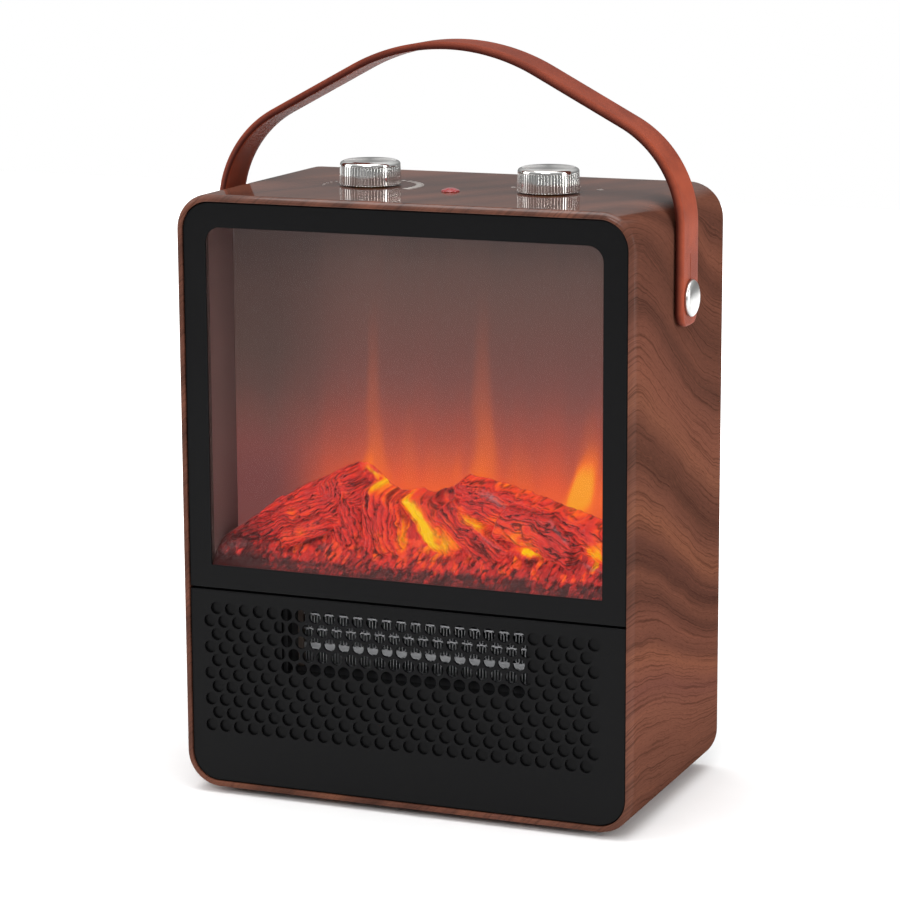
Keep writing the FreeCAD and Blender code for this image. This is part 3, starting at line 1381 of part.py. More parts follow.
outer_sleeve()
front_frame()
corner_screws("front_frame_screws", panel_back + fit_gap, 1, frame_thick + 6)
window_frame()
window_pane()
grille_panel()
rear_cover()
corner_screws("rear_cover_screws", half_depth - cover_recess + head_thick, -1, cover_plate + 8)
flame_chamber()
flame_screen()
log_bed()
ember_lights()
flame_spindle()
spindle_carriers()
flame_lights()
deck()
heater_core()
heater_duct()
blower_housing()
blower_rotor()
blower_motor()
control("thermostat", thermostat_x, THERMOSTAT_POINTER)
control("selector", selector_x, SELECTOR_POINTER)
pilot_light()
carry_strap()
strap_studs()
feet()
tip_switch()
rear_fittings()
driver_board()

doc.recompute()


# ---------------------------------------------------------------- checks and files

def check_document():
    """Stops on any failed object, empty pocket or broken shape, before a file is written."""
    faults = []
    for item in doc.Objects:
        if "Invalid" in item.State or "Error" in item.State:
            faults.append(item.Name + " failed")
        if item.isDerivedFrom("PartDesign::Pocket") and item.BaseFeature:
            if item.Shape.Volume > item.BaseFeature.Shape.Volume - 0.001:
                faults.append(item.Name + " cuts nothing")
    for node in nodes:
        if node.Shape.isNull() or not node.Shape.isValid() or not node.Shape.Solids:
            faults.append(node.Label + " has no valid solid")
    labels = [node.Label for node in nodes]
    if len(set(labels)) != len(labels):
        faults.append("two sub-parts share a label")
    if faults:
        raise SystemExit("part.py stops: " + "; ".join(faults))


check_document()
for node in nodes:
    node.Shape.exportStep(os.path.join("parts", node.Label + ".step"))
print(len(nodes), "sub-parts written")
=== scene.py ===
import json
import math

import bpy
import numpy as np
from mathutils import Matrix, Vector


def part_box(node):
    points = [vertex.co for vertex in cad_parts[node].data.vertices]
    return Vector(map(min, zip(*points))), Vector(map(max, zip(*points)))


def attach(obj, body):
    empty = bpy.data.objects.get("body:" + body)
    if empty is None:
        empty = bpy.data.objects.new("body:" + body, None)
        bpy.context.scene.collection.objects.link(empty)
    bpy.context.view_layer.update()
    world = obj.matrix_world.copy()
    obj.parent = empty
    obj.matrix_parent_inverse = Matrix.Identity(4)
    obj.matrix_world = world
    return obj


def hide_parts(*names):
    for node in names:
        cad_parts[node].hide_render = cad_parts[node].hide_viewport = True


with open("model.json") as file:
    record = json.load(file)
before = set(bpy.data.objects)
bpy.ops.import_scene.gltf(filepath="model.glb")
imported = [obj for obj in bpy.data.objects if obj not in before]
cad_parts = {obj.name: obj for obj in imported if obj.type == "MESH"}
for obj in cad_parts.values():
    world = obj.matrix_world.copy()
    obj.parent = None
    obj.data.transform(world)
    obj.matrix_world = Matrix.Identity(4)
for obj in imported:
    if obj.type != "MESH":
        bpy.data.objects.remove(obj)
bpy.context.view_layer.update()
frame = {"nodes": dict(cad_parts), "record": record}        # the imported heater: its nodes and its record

mm = 0.001
print("frame loaded:", len(frame["nodes"]), "nodes")


def rgb(red, green, blue):
    # a paint-chart colour, 0 to 255, as the light values that a shader wants
    parts = [part / 255 for part in (red, green, blue)]
    light = [part / 12.92 if part < 0.04045 else ((part + 0.055) / 1.055) ** 2.4 for part in parts]
    return (*light, 1.0)


def shade(colour, share):
    # the same colour, darker or lighter
    return tuple(min(part * share, 1.0) for part in colour[:3]) + (1.0,)


class Wire:
    # one output of a shader node; sums and products of wires and numbers add Math nodes
    def __init__(self, surface, socket):
        self.surface = surface
        self.socket = socket

    def maths(self, operation, *values):
        return self.surface.node("ShaderNodeMath", {"operation": operation}, dict(enumerate(values)))

    def __add__(self, other):
        return self.maths("ADD", self, other)

    def __radd__(self, other):
        return self.maths("ADD", other, self)

    def __sub__(self, other):
        return self.maths("SUBTRACT", self, other)

    def __rsub__(self, other):
        return self.maths("SUBTRACT", other, self)

    def __mul__(self, other):
        return self.maths("MULTIPLY", self, other)

    def __rmul__(self, other):
        return self.maths("MULTIPLY", other, self)

    def __truediv__(self, other):
        return self.maths("DIVIDE", self, other)

    def __pow__(self, other):
        return self.maths("POWER", self, other)

    def __rpow__(self, other):
        return self.maths("POWER", other, self)

    def __neg__(self):
        return self.maths("MULTIPLY", self, -1.0)

    def step(self, low, high):
        # 0 below low, 1 above high, and a smooth rise between; low may be the larger one
        sockets = {"Value": self, "From Min": low, "From Max": high}
        return self.surface.node("ShaderNodeMapRange", {"interpolation_type": "SMOOTHSTEP"}, sockets)

    def clamp(self):
        return self.surface.node("ShaderNodeClamp", {}, {"Value": self})


class Surface:
    # one material and the nodes that make it
    def __init__(self, name):
        self.material = bpy.data.materials.new(name)
        self.material.use_nodes = True
        self.tree = self.material.node_tree
        self.tree.nodes.clear()

    def node(self, kind, settings=None, sockets=None, out=0):
        made = self.tree.nodes.new(kind)
        for key, value in (settings or {}).items():
            if key == "stops":
                self.setStops(made.color_ramp, value)
            else:
                setattr(made, key, value)
        for key, value in (sockets or {}).items():
            if isinstance(value, Wire):
                self.tree.links.new(value.socket, made.inputs[key])
            else:
                made.inputs[key].default_value = value
        return Wire(self, made.outputs[out])

    def setStops(self, ramp, stops):
        while len(ramp.elements) < len(stops):
            ramp.elements.new(1.0)
        for element, (place, colour) in zip(ramp.elements, stops):
            element.position = place
            element.color = colour

    def place(self):
        # where a point of the piece is, in metres
        return self.node("ShaderNodeTexCoord", out="Object")

    def split(self, vector):
        first = self.node("ShaderNodeSeparateXYZ", {}, {"Vector": vector})
        return [Wire(self, output) for output in first.socket.node.outputs]

    def join(self, x, y, z):
        return self.node("ShaderNodeCombineXYZ", {}, {"X": x, "Y": y, "Z": z})

    def stretch(self, vector, x, y, z):
        return self.node("ShaderNodeVectorMath", {"operation": "MULTIPLY"}, {0: vector, 1: (x, y, z)})

    def noise(self, vector, scale, detail=2.0, rough=0.5, twist=0.0):
        return self.node("ShaderNodeTexNoise", {}, {
            "Vector": vector, "Scale": scale, "Detail": detail, "Roughness": rough, "Distortion": twist})

    def ramp(self, value, *stops):
        return self.node("ShaderNodeValToRGB", {"stops": stops}, {"Fac": value})

    def blend(self, factor, first, second, how="MIX"):
        settings = {"data_type": "RGBA", "blend_type": how}
        return self.node("ShaderNodeMix", settings, {0: factor, 6: first, 7: second}, out=2)

    def bump(self, height, strength, depth):
        return self.node("ShaderNodeBump", {}, {"Height": height, "Strength": strength, "Distance": depth})

    def attribute(self, name):
        return self.node("ShaderNodeAttribute", {"attribute_name": name}, out="Fac")

    def finish(self, **sockets):
        named = {key.replace("_", " "): value for key, value in sockets.items()}
        shader = self.node("ShaderNodeBsdfPrincipled", {}, named)
        output = self.tree.nodes.new("ShaderNodeOutputMaterial")
        self.tree.links.new(shader.socket, output.inputs["Surface"])
        return self.material


# walnut film: the grain starts level at the front and falls in a long S towards the back, less so lower down
walnut = {
    "half": 0.069, "fall": (0.004, 0.066), "fallHeight": 0.175, "top": 0.012, "topFrom": (0.2, 0.32),
    "lag": 0.035, "straight": 0.35, "side": 0.120,
    "wave": 0.007, "waveSize": 12.0, "ripple": 0.0028, "rippleSize": 42.0, "reach": 0.390,
    "base": (92, 57, 46), "contrast": 0.62,
    "line": 0.0012, "lineLength": 0.095, "pore": 0.00042, "poreLength": 0.0045,
    "bands": [           # height at the front edge in millimetres, then the colour there
        (0, 66, 42, 35), (14, 84, 54, 44), (28, 100, 65, 52), (44, 108, 69, 55), (62, 122, 78, 62),
        (76, 112, 70, 60), (92, 134, 84, 63), (101, 100, 63, 51), (111, 112, 70, 56), (121, 74, 47, 39),
        (131, 104, 66, 52), (139, 66, 42, 35), (150, 82, 52, 43), (163, 130, 82, 60), (178, 106, 67, 53),
        (190, 70, 45, 36),
        (203, 88, 56, 45), (216, 126, 80, 61), (232, 122, 76, 60), (250, 108, 68, 55), (263, 74, 48, 40),
        (273, 98, 62, 50), (292, 76, 49, 40), (312, 100, 63, 50), (326, 70, 44, 36), (340, 116, 72, 56),
        (356, 72, 46, 38), (372, 102, 64, 50), (390, 84, 53, 43)],
}


def walnutFilm(w):
    s = Surface("walnutFilm")
    spot = s.place()
    x, y, z = s.split(spot)
    around = z - x + w["side"]      # the height on the right side, and on over the top to the left
    back = ((y + w["half"]) / (2 * w["half"])).clamp()
    ease = back * w["straight"] + back * back * (3.0 - back * 2.0) * (1.0 - w["straight"])
    lifted = around + ease * w["lag"]
    low, high = w["fall"]
    fall = low + lifted.step(0.0, w["fallHeight"]) * (high - low) + lifted.step(*w["topFrom"]) * w["top"]
    slow = s.noise(spot, w["waveSize"], 1.0, 0.4) - 0.5
    quick = s.noise(spot, w["rippleSize"], 2.0, 0.5) - 0.5
    field = around + fall * ease + slow * (2 * w["wave"]) + quick * (2 * w["ripple"])
    folded = s.node("ShaderNodeMath", {"operation": "PINGPONG"}, {0: field, 1: w["reach"]})
    stops = []
    for height, *colour in w["bands"]:
        mixed = [mean + (part - mean) * w["contrast"] for part, mean in zip(colour, w["base"])]
        stops.append((height * mm / w["reach"], rgb(*mixed)))
    wood = s.ramp(folded / w["reach"], *stops)
    across = y + (x + z) * 0.05
    lines = s.noise(s.join(field / w["line"], across / w["lineLength"], 0.0), 1.0, 4.0, 0.62)
    wood = s.blend(lines.step(0.49, 0.34) * 0.50, wood, rgb(40, 24, 19))
    wood = s.blend(lines.step(0.55, 0.78) * 0.26, wood, rgb(142, 86, 62))
    pores = s.noise(s.join(field / w["pore"], across / w["poreLength"], 4.0), 1.0, 2.0, 0.6)
    wood = s.blend(pores.step(0.45, 0.28) * 0.46, wood, rgb(44, 25, 20))
    wood = s.blend(pores.step(0.56, 0.74) * 0.18, wood, rgb(146, 92, 68))
    gloss = z.step(0.2995, 0.3045) + y.step(-0.0655, -0.0675) * 0.18
    dents = s.bump(pores * 0.5 + lines * 0.5, 0.10, 0.0002)
    return s.finish(Base_Color=wood, Roughness=0.5 + pores * 0.1, Normal=dents, Coat_Weight=gloss * 0.70,
                    Coat_Roughness=0.07, Specular_IOR_Level=0.0)


def satinBlack(name, colour, roughness, grain):
    # moulded or lacquered black: a fine even tooth, and a slow change of sheen from handling
    s = Surface(name)
    spot = s.place()
    tooth = s.noise(spot, 2600.0, 2.0, 0.6)
    cloud = s.noise(spot, 14.0, 3.0, 0.6)
    tint = s.blend(cloud, colour, shade(colour, 1.35))
    return s.finish(Base_Color=tint, Roughness=roughness + cloud * 0.08 - 0.04,
                    Normal=s.bump(tooth, grain, 0.00012), Specular_IOR_Level=0.12)


def plastic(name, colour, roughness=0.5, grain=0.15, size=900.0):
    # moulded plastic: spark-eroded texture, flow clouds, and painted shade that makes the low spots slightly
    # darker
    s = Surface(name)
    spot = s.place()
    tooth = s.noise(spot, size, 3.0, 0.6)
    flow = s.noise(s.stretch(spot, 1.0, 0.4, 1.0), 22.0, 2.0, 0.5, 0.6)
    tint = s.blend(flow, shade(colour, 0.86), colour)
    # painted shade: the low spots of the texture are darkened
    tint = s.blend(tooth.step(0.45, 0.3) * 0.3, tint, shade(colour, 0.6))
    return s.finish(Base_Color=tint, Roughness=roughness + tooth * 0.1 - 0.05,
                    Normal=s.bump(tooth, grain, 0.0002))


def metal(name, colour, roughness, streak=(1.0, 60.0, 60.0), strength=0.08):
    # drawn or rolled metal: long fine streaks with a few dull patches
    s = Surface(name)
    spot = s.place()
    lines = s.noise(s.stretch(spot, *streak), 40.0, 3.0, 0.7)
    dull = s.noise(spot, 30.0, 3.0, 0.6)
    tint = s.blend(lines * 0.5 + dull * 0.3, colour, shade(colour, 0.72))
    return s.finish(Base_Color=tint, Metallic=1.0, Roughness=roughness + lines * 0.12 + dull * 0.1 - 0.08,
                    Normal=s.bump(lines, strength, 0.0001))


def rubber(name, colour):
    s = Surface(name)
    spot = s.place()
    skin = s.noise(spot, 700.0, 4.0, 0.7)
    dust = s.noise(spot, 40.0, 4.0, 0.7).step(0.5, 0.75)
    tint = s.blend(dust * 0.25, colour, rgb(88, 84, 80))
    return s.finish(Base_Color=tint, Roughness=0.78 + skin * 0.15 - 0.08, Normal=s.bump(skin, 0.25, 0.0003))


def circuitBoard():
    # green lacquer over copper runs, with tinned pads
    s = Surface("circuitBoard")
    spot = s.place()
    runs = s.node("ShaderNodeTexWave", {"bands_direction": "Y"}, {
        "Vector": spot, "Scale": 160.0, "Distortion": 3.0, "Detail": 1.0, "Detail Scale": 0.5})
    pads = s.node("ShaderNodeTexVoronoi", {}, {"Vector": spot, "Scale": 180.0}, out="Distance")
    copper = runs.step(0.62, 0.70)
    pad = pads.step(0.22, 0.16)
    green = s.blend(copper, rgb(18, 66, 38), rgb(34, 98, 56))
    tint = s.blend(pad, green, rgb(176, 174, 166))
    return s.finish(Base_Color=tint, Roughness=0.34 + pad * 0.1,
                    Normal=s.bump(copper * 0.5 + pad, 0.2, 0.0001))


def copperWinding():
    s = Surface("copperWinding")
    spot = s.place()
    z = s.split(spot)[2]
    turns = z.maths("SINE", z * (2 * math.pi / 0.0006))      # one turn of wire every 0.6 mm
    stray = s.noise(spot, 160.0, 3.0, 0.6)
    # painted shade in the grooves between turns and painted highlight on their crests
    tint = s.blend(turns * 0.5 + 0.5, rgb(112, 44, 20), rgb(190, 96, 52))
    tint = s.blend(stray * 0.4, tint, rgb(92, 40, 24))
    return s.finish(Base_Color=tint, Roughness=0.34 + stray * 0.1, Normal=s.bump(turns, 0.5, 0.0002),
                    Metallic=0.6)


def ledResin(name, colour, glow, power):
    s = Surface(name)
    spot = s.place()
    haze = s.noise(spot, 500.0, 2.0, 0.5)
    tint = s.blend(haze, colour, shade(colour, 1.4))
    return s.finish(Base_Color=tint, Roughness=0.18 + haze * 0.1, Emission_Color=s.blend(haze, glow, tint),
                    Emission_Strength=power)


# tan strap leather: fine pebbled grain, creases across, burnished dark edges, painted shade in the slits, and
# painted shade that darkens the arch
leather = {
    "face": rgb(158, 74, 50), "deep": rgb(126, 56, 38), "edge": rgb(62, 22, 15),
    "held": rgb(84, 34, 24), "heldFrom": (0.29, 0.36), "pebble": 1500.0, "crease": 90.0,
}


def strapLeather(l):
    s = Surface("strapLeather")
    spot = s.place()
    edge = s.attribute("edge")
    pebble = s.node("ShaderNodeTexVoronoi", {"feature": "DISTANCE_TO_EDGE"},
                    {"Vector": spot, "Scale": l["pebble"]}, out="Distance")
    cell = pebble.step(0.0, 0.12)
    cloud = s.noise(spot, 55.0, 4.0, 0.6)
    crease = s.noise(s.stretch(spot, 1.0, 0.25, 1.0), l["crease"], 3.0, 0.6)
    tint = s.blend(cloud.step(0.3, 0.7), l["deep"], l["face"])
    tint = s.blend(0.55 + cell * 0.45, l["deep"], tint)
    # painted shade: the top of the arch is blended towards a darker brown
    tint = s.blend(s.split(spot)[2].step(*l["heldFrom"]) * 0.42, tint, l["held"])
    # the edge colour: burnished rims, and painted shade on the slit floors
    tint = s.blend(edge, tint, l["edge"])
    rough = 0.46 + cloud * 0.12 - cell * 0.04
    dents = s.bump(cell * 0.7 + crease * 0.6, 0.16, 0.00025)
    return s.finish(Base_Color=tint, Roughness=rough, Normal=dents, Specular_IOR_Level=0.08)


def knobChrome(name, centre, topHeight, capRadius):
    # bright plated flutes below, and rings left by turning on the cap
    s = Surface(name)
    spot = s.place()
    x, y, z = s.split(spot)
    dx = x - centre[0]
    dy = y - centre[1]
    radius = (dx * dx + dy * dy) ** 0.5
    cap = z.step(topHeight - 0.0022, topHeight - 0.0016) * radius.step(capRadius, capRadius - 0.0004)
    rings = s.noise(s.join(radius * 5200.0, 0.0, 0.0), 1.0, 2.0, 0.6)
    smear = s.noise(spot, 60.0, 3.0, 0.6)
    tint = s.blend(rings * cap, rgb(232, 232, 230), rgb(205, 205, 204))
    rough = 0.05 + smear * 0.05 + cap * (0.22 + rings * 0.10)
    return s.finish(Base_Color=tint, Metallic=1.0, Roughness=rough, Anisotropic=0.9,
                    Normal=s.bump(rings * cap, 0.5, 0.00005))


def satinNickel():
    s = Surface("satinNickel")
    dull = s.noise(s.place(), 900.0, 3.0, 0.6)
    tint = s.blend(dull, rgb(222, 222, 220), rgb(196, 196, 194))
    return s.finish(Base_Color=tint, Metallic=1.0, Roughness=0.24 + dull * 0.12,
                    Normal=s.bump(dull, 0.05, 0.0001))


def redLens():
    s = Surface("redLens")
    depth = s.noise(s.place(), 420.0, 2.0, 0.5)
    tint = s.blend(depth, rgb(96, 4, 10), rgb(176, 12, 24))
    return s.finish(Base_Color=tint, Roughness=0.06 + depth * 0.06, Coat_Weight=1.0, Coat_Roughness=0.03,
                    Emission_Color=s.blend(depth, rgb(90, 0, 4), rgb(190, 6, 14)), Emission_Strength=0.15)


# the pane is clear with a faint smoke, so that a little of the room's light stays on it
pane = {"smoke": rgb(70, 62, 62), "cover": 0.05}


def clearPane(p):
    s = Surface("clearPane")
    wipe = s.noise(s.stretch(s.place(), 1.0, 1.0, 0.3), 18.0, 3.0, 0.6)
    tint = s.blend(wipe, p["smoke"], shade(p["smoke"], 0.8))
    return s.finish(Base_Color=tint, Roughness=0.05 + wipe * 0.04, Alpha=p["cover"], Specular_IOR_Level=0.5)


# the flame picture on the screen: tall soft tongues over a glow that dies away upwards
flames = {
    "bottom": 0.160, "height": 0.130,
    "middle": [          # height in millimetres, then the colour there, up the middle
        (160, 238, 92, 48), (166, 224, 86, 50), (172, 205, 84, 55), (178, 188, 81, 59), (185, 170, 77, 61),
        (195, 150, 75, 64), (205, 133, 74, 66), (215, 121, 73, 67), (228, 112, 72, 66), (250, 103, 73, 67),
        (270, 94, 72, 67), (286, 76, 63, 60)],
    "side": [            # and up the left side
        (160, 116, 64, 62), (175, 120, 68, 64), (190, 108, 68, 62), (205, 92, 65, 60), (225, 83, 63, 58),
        (255, 78, 59, 55), (286, 66, 54, 52)],
    "tongues": [         # middle across, foot height, tip height, half width, lean, strength
        (-0.0300, 0.162, 0.262, 0.0060, 0.001, 0.20), (-0.0270, 0.160, 0.196, 0.0070, -0.003, 0.32),
        (-0.0340, 0.166, 0.180, 0.0050, 0.002, 0.50), (0.0290, 0.160, 0.268, 0.0070, -0.001, 0.22),
        (0.0310, 0.162, 0.212, 0.0075, -0.002, 0.30), (0.0240, 0.160, 0.184, 0.0060, 0.003, 0.30),
        (-0.0110, 0.160, 0.208, 0.0040, 0.000, 0.14), (0.0060, 0.158, 0.188, 0.0120, 0.000, 0.16),
        (0.0150, 0.166, 0.184, 0.0030, 0.000, 0.24), (0.0480, 0.160, 0.194, 0.0080, 0.000, 0.16),
        (0.0780, 0.156, 0.192, 0.0078, 0.010, 1.60), (0.0830, 0.158, 0.212, 0.0080, 0.004, 0.34),
        (0.0940, 0.158, 0.186, 0.0070, 0.002, 0.34)],
    "tongue": rgb(255, 116, 36), "heart": rgb(255, 168, 36),
}


def flameScreen(f):
    s = Surface("flameScreen")
    spot = s.place()
    x, y, z = s.split(spot)
    sway = s.noise(s.stretch(spot, 1.0, 0.0, 0.30), 60.0, 2.0, 0.5) - 0.5
    swayed = x + sway * 0.008
    streak = s.noise(s.stretch(spot, 1.0, 0.0, 0.07), 85.0, 3.0, 0.6) - 0.5
    level = ((z + streak * 0.016 - f["bottom"]) / f["height"]).clamp()
    ramps = []
    for key in ("middle", "side"):
        stops = [((height * mm - f["bottom"]) / f["height"], rgb(*colour)) for height, *colour in f[key]]
        ramps.append(s.ramp(level, *stops))
    glow = s.blend(swayed.step(-0.028, -0.088), *ramps)
    light = 0.0
    for middle, foot, tip, half, lean, strength in f["tongues"]:
        up = (z - foot) / (tip - foot)
        off = (swayed - middle - up * lean) / (half * (1.1 - up * 0.75))
        body = (off * off).step(1.3, 0.0) * up.step(-0.3, 0.1) * up.step(1.0, 0.1)
        light = light + body * strength
    light = light * (1.0 + streak * 0.9)
    glow = s.blend(light.clamp() * 0.9, glow, f["tongue"])
    glow = s.blend(light.step(0.75, 1.6) * 0.8, glow, f["heart"])
    return s.finish(Base_Color=rgb(24, 20, 19), Roughness=0.6, Emission_Color=glow, Emission_Strength=1.0,
                    Specular_IOR_Level=0.1)


# ember bed: moulded resin lit from inside, painted with soot in its cracks and ash on its tips, with painted shade
# in its clefts, along the rims of its logs and at its lower left end
ember = {
    "columns": 560, "rows": 150,
    "ridge": [           # across, height of the top edge, in millimetres
        (-106, 131), (-98, 136), (-82, 148), (-66, 157), (-50, 165), (-38, 170.5), (-32, 169.5), (-27, 166),
        (-20, 160.5), (-14, 157.5), (-3, 159), (4, 158), (15, 162.5), (22, 168), (30, 167.5), (44, 164.5),
        (60, 160), (76, 155.5), (92, 150.5), (106, 146)],
    "logs": [            # from, to (across, up), radius at both, place forward, bark depth, bow, strand width
        ((-116, 123), (-36, 160), 9.0, 12.5, 4.0, 1.3, 4.0, 2.3),
        ((-106, 121), (-44, 149), 7.0, 9.5, 12.0, 1.2, 2.0, 2.1),
        ((-48, 162), (-38, 131), 9.5, 9.0, 9.0, 1.1, 0.0, 2.6),
        ((-68, 132.5), (-50, 141), 4.6, 5.4, 21.0, 0.6, 0.0, 2.0),
        ((-21, 159), (-17, 130), 11.5, 12.5, 9.0, 1.5, -1.5, 3.3),
        ((-3, 158), (16, 131), 9.5, 9.5, 8.0, 0.7, 0.0, 3.0),
        ((20, 164), (112, 139), 11.0, 9.5, 4.5, 1.3, 2.0, 2.2),
        ((24, 157), (92, 141), 9.0, 8.0, 10.0, 1.0, 2.0, 2.4),
        ((15, 151), (42, 131), 8.5, 7.5, 13.5, 1.0, 0.0, 2.4),
        ((47, 150), (83, 136), 9.5, 8.5, 17.0, 0.7, 2.5, 4.0),
        ((88, 147), (112, 128), 8.5, 8.0, 9.5, 0.8, 0.0, 3.0)],
    "heats": [           # across, up, half length, half width, tilt, strength
        (-1, 149, 13, 3.0, -56, 0.44), (5, 141, 7, 3.6, -62, 0.34), (2, 146, 17, 8.5, -56, 0.16),
        (15, 136, 8, 6, 0, 0.24), (-8.5, 137, 8, 2.2, -78, 0.28), (-16, 134, 8, 3, -72, 0.14),
        (-29, 165.5, 6, 2.0, -52, 0.30), (-21.5, 161.5, 6, 2.4, -42, 0.36), (58, 134.5, 9, 1.7, -6, 0.46),
        (60, 142, 10, 6, -35, 0.18), (31, 147.5, 8, 2.0, -36, 0.34), (95, 137, 5, 6, 0, 0.36),
        (71, 159, 32, 3.5, -17, 0.10), (44, 166, 22, 2.0, -12, 0.12), (-59, 137, 8, 3.4, 25, 0.14),
        (-67, 146, 5, 3, 20, 0.12), (-70, 134, 5, 4, 0, 0.10), (88, 155, 14, 3, -20, 0.10),
        (48, 147, 10, 4, -30, 0.12)],
    "ashes": [           # the same for grey ash
        (40, 160.5, 9, 2.0, -22, 0.9), (-98, 126, 12, 4, 20, 0.4), (-49, 130, 5, 2.0, 15, 0.6),
        (92, 129.5, 12, 1.0, -12, 0.7), (40, 139, 10, 1.0, -38, 0.6), (76, 148, 11, 0.9, -38, 0.6)],
    "shadows": [         # the same for painted shadow in the dark clefts
        (-31, 147, 13, 1.2, 86, 0.9), (37, 134, 8, 1.8, -50, 0.9), (12, 158, 6, 1.6, -10, 0.7),
        (84, 135, 6, 1.3, 80, 0.9), (55, 142, 9, 0.8, -48, 0.8), (-57, 131, 10, 1.2, 22, 0.8),
        (-60, 143, 11, 0.9, 24, 0.6), (70, 146, 8, 0.7, -42, 0.6)],
}


def lattice(x, y, seed):
    # a random number from 0 to 1 for each whole-numbered point, from the fraction of a large sine
    return np.abs(np.modf(np.sin(x * 127.1 + y * 311.7 + seed * 74.7) * 43758.5453)[0])


def speckle(x, y, seed=0):
    # smooth noise from 0 to 1: lattice numbers blended by an S-curve between the four points around
    fx, fy = np.floor(x), np.floor(y)
    tx, ty = x - fx, y - fy
    tx, ty = tx * tx * (3 - 2 * tx), ty * ty * (3 - 2 * ty)
    low = lattice(fx, fy, seed) * (1 - tx) + lattice(fx + 1, fy, seed) * tx
    high = lattice(fx, fy + 1, seed) * (1 - tx) + lattice(fx + 1, fy + 1, seed) * tx
    return low * (1 - ty) + high * ty


def layers(x, y, seed=0, count=4):
    # noise of several sizes added up, each half the size and half the strength of the one before
    total, weight = 0.0, 0.0
    for level in range(count):
        total = total + speckle(x * 2 ** level, y * 2 ** level, seed + level) * 0.5 ** level
        weight += 0.5 ** level
    return total / weight


def coals(x, y, seed):
    # distance to the nearest of one random point per cell, and that cell's own random number
    fx, fy = np.floor(x), np.floor(y)
    best = np.full(x.shape, 9.0)
    own = np.zeros(x.shape)
    for stepX in (-1, 0, 1):
        for stepY in (-1, 0, 1):
            cx, cy = fx + stepX, fy + stepY
            px, py = cx + lattice(cx, cy, seed), cy + lattice(cx, cy, seed + 9)
            apart = np.hypot(x - px, y - py)
            nearer = apart < best
            best = np.where(nearer, apart, best)
            own = np.where(nearer, lattice(cx, cy, seed + 5), own)
    return best, own


def gridFaces(rows, columns, wrap=False):
    # the quads between neighbouring points of a grid; with wrap the last column joins the first
    r, c = np.meshgrid(np.arange(rows - 1), np.arange(columns if wrap else columns - 1), indexing="ij")
    after = (c + 1) % columns
    here, above = r * columns, (r + 1) * columns
    return np.stack([here + c, here + after, above + after, above + c], -1).reshape(-1, 4)


def addPiece(name, points, faces, body, material, node=None, marks=None):
    # one closed mesh, in metres; its faces are turned outwards if its volume comes out negative
    points = np.asarray(points, float).reshape(-1, 3)
    lists = [list(face) for face in faces]
    volume = 0.0
    for size in {len(face) for face in lists}:
        ring = np.array([face for face in lists if len(face) == size])
        for turn in range(1, size - 1):
            a, b, c = points[ring[:, 0]], points[ring[:, turn]], points[ring[:, turn + 1]]
            volume += np.einsum("ij,ij->", a, np.cross(b, c)) / 6
    if volume < 0:
        lists = [face[::-1] for face in lists]
    mesh = bpy.data.meshes.new(name)
    mesh.from_pydata(points.tolist(), [], lists)
    mesh.shade_smooth()
    mesh.materials.append(material)
    for key, values in (marks or {}).items():
        layer = mesh.attributes.new(key, "FLOAT", "POINT")
        layer.data.foreach_set("value", np.asarray(values, np.float32).ravel())
    piece = bpy.data.objects.new(name, mesh)
    bpy.context.scene.collection.objects.link(piece)
    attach(piece, body)
    if node:
        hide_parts(node)
    return piece


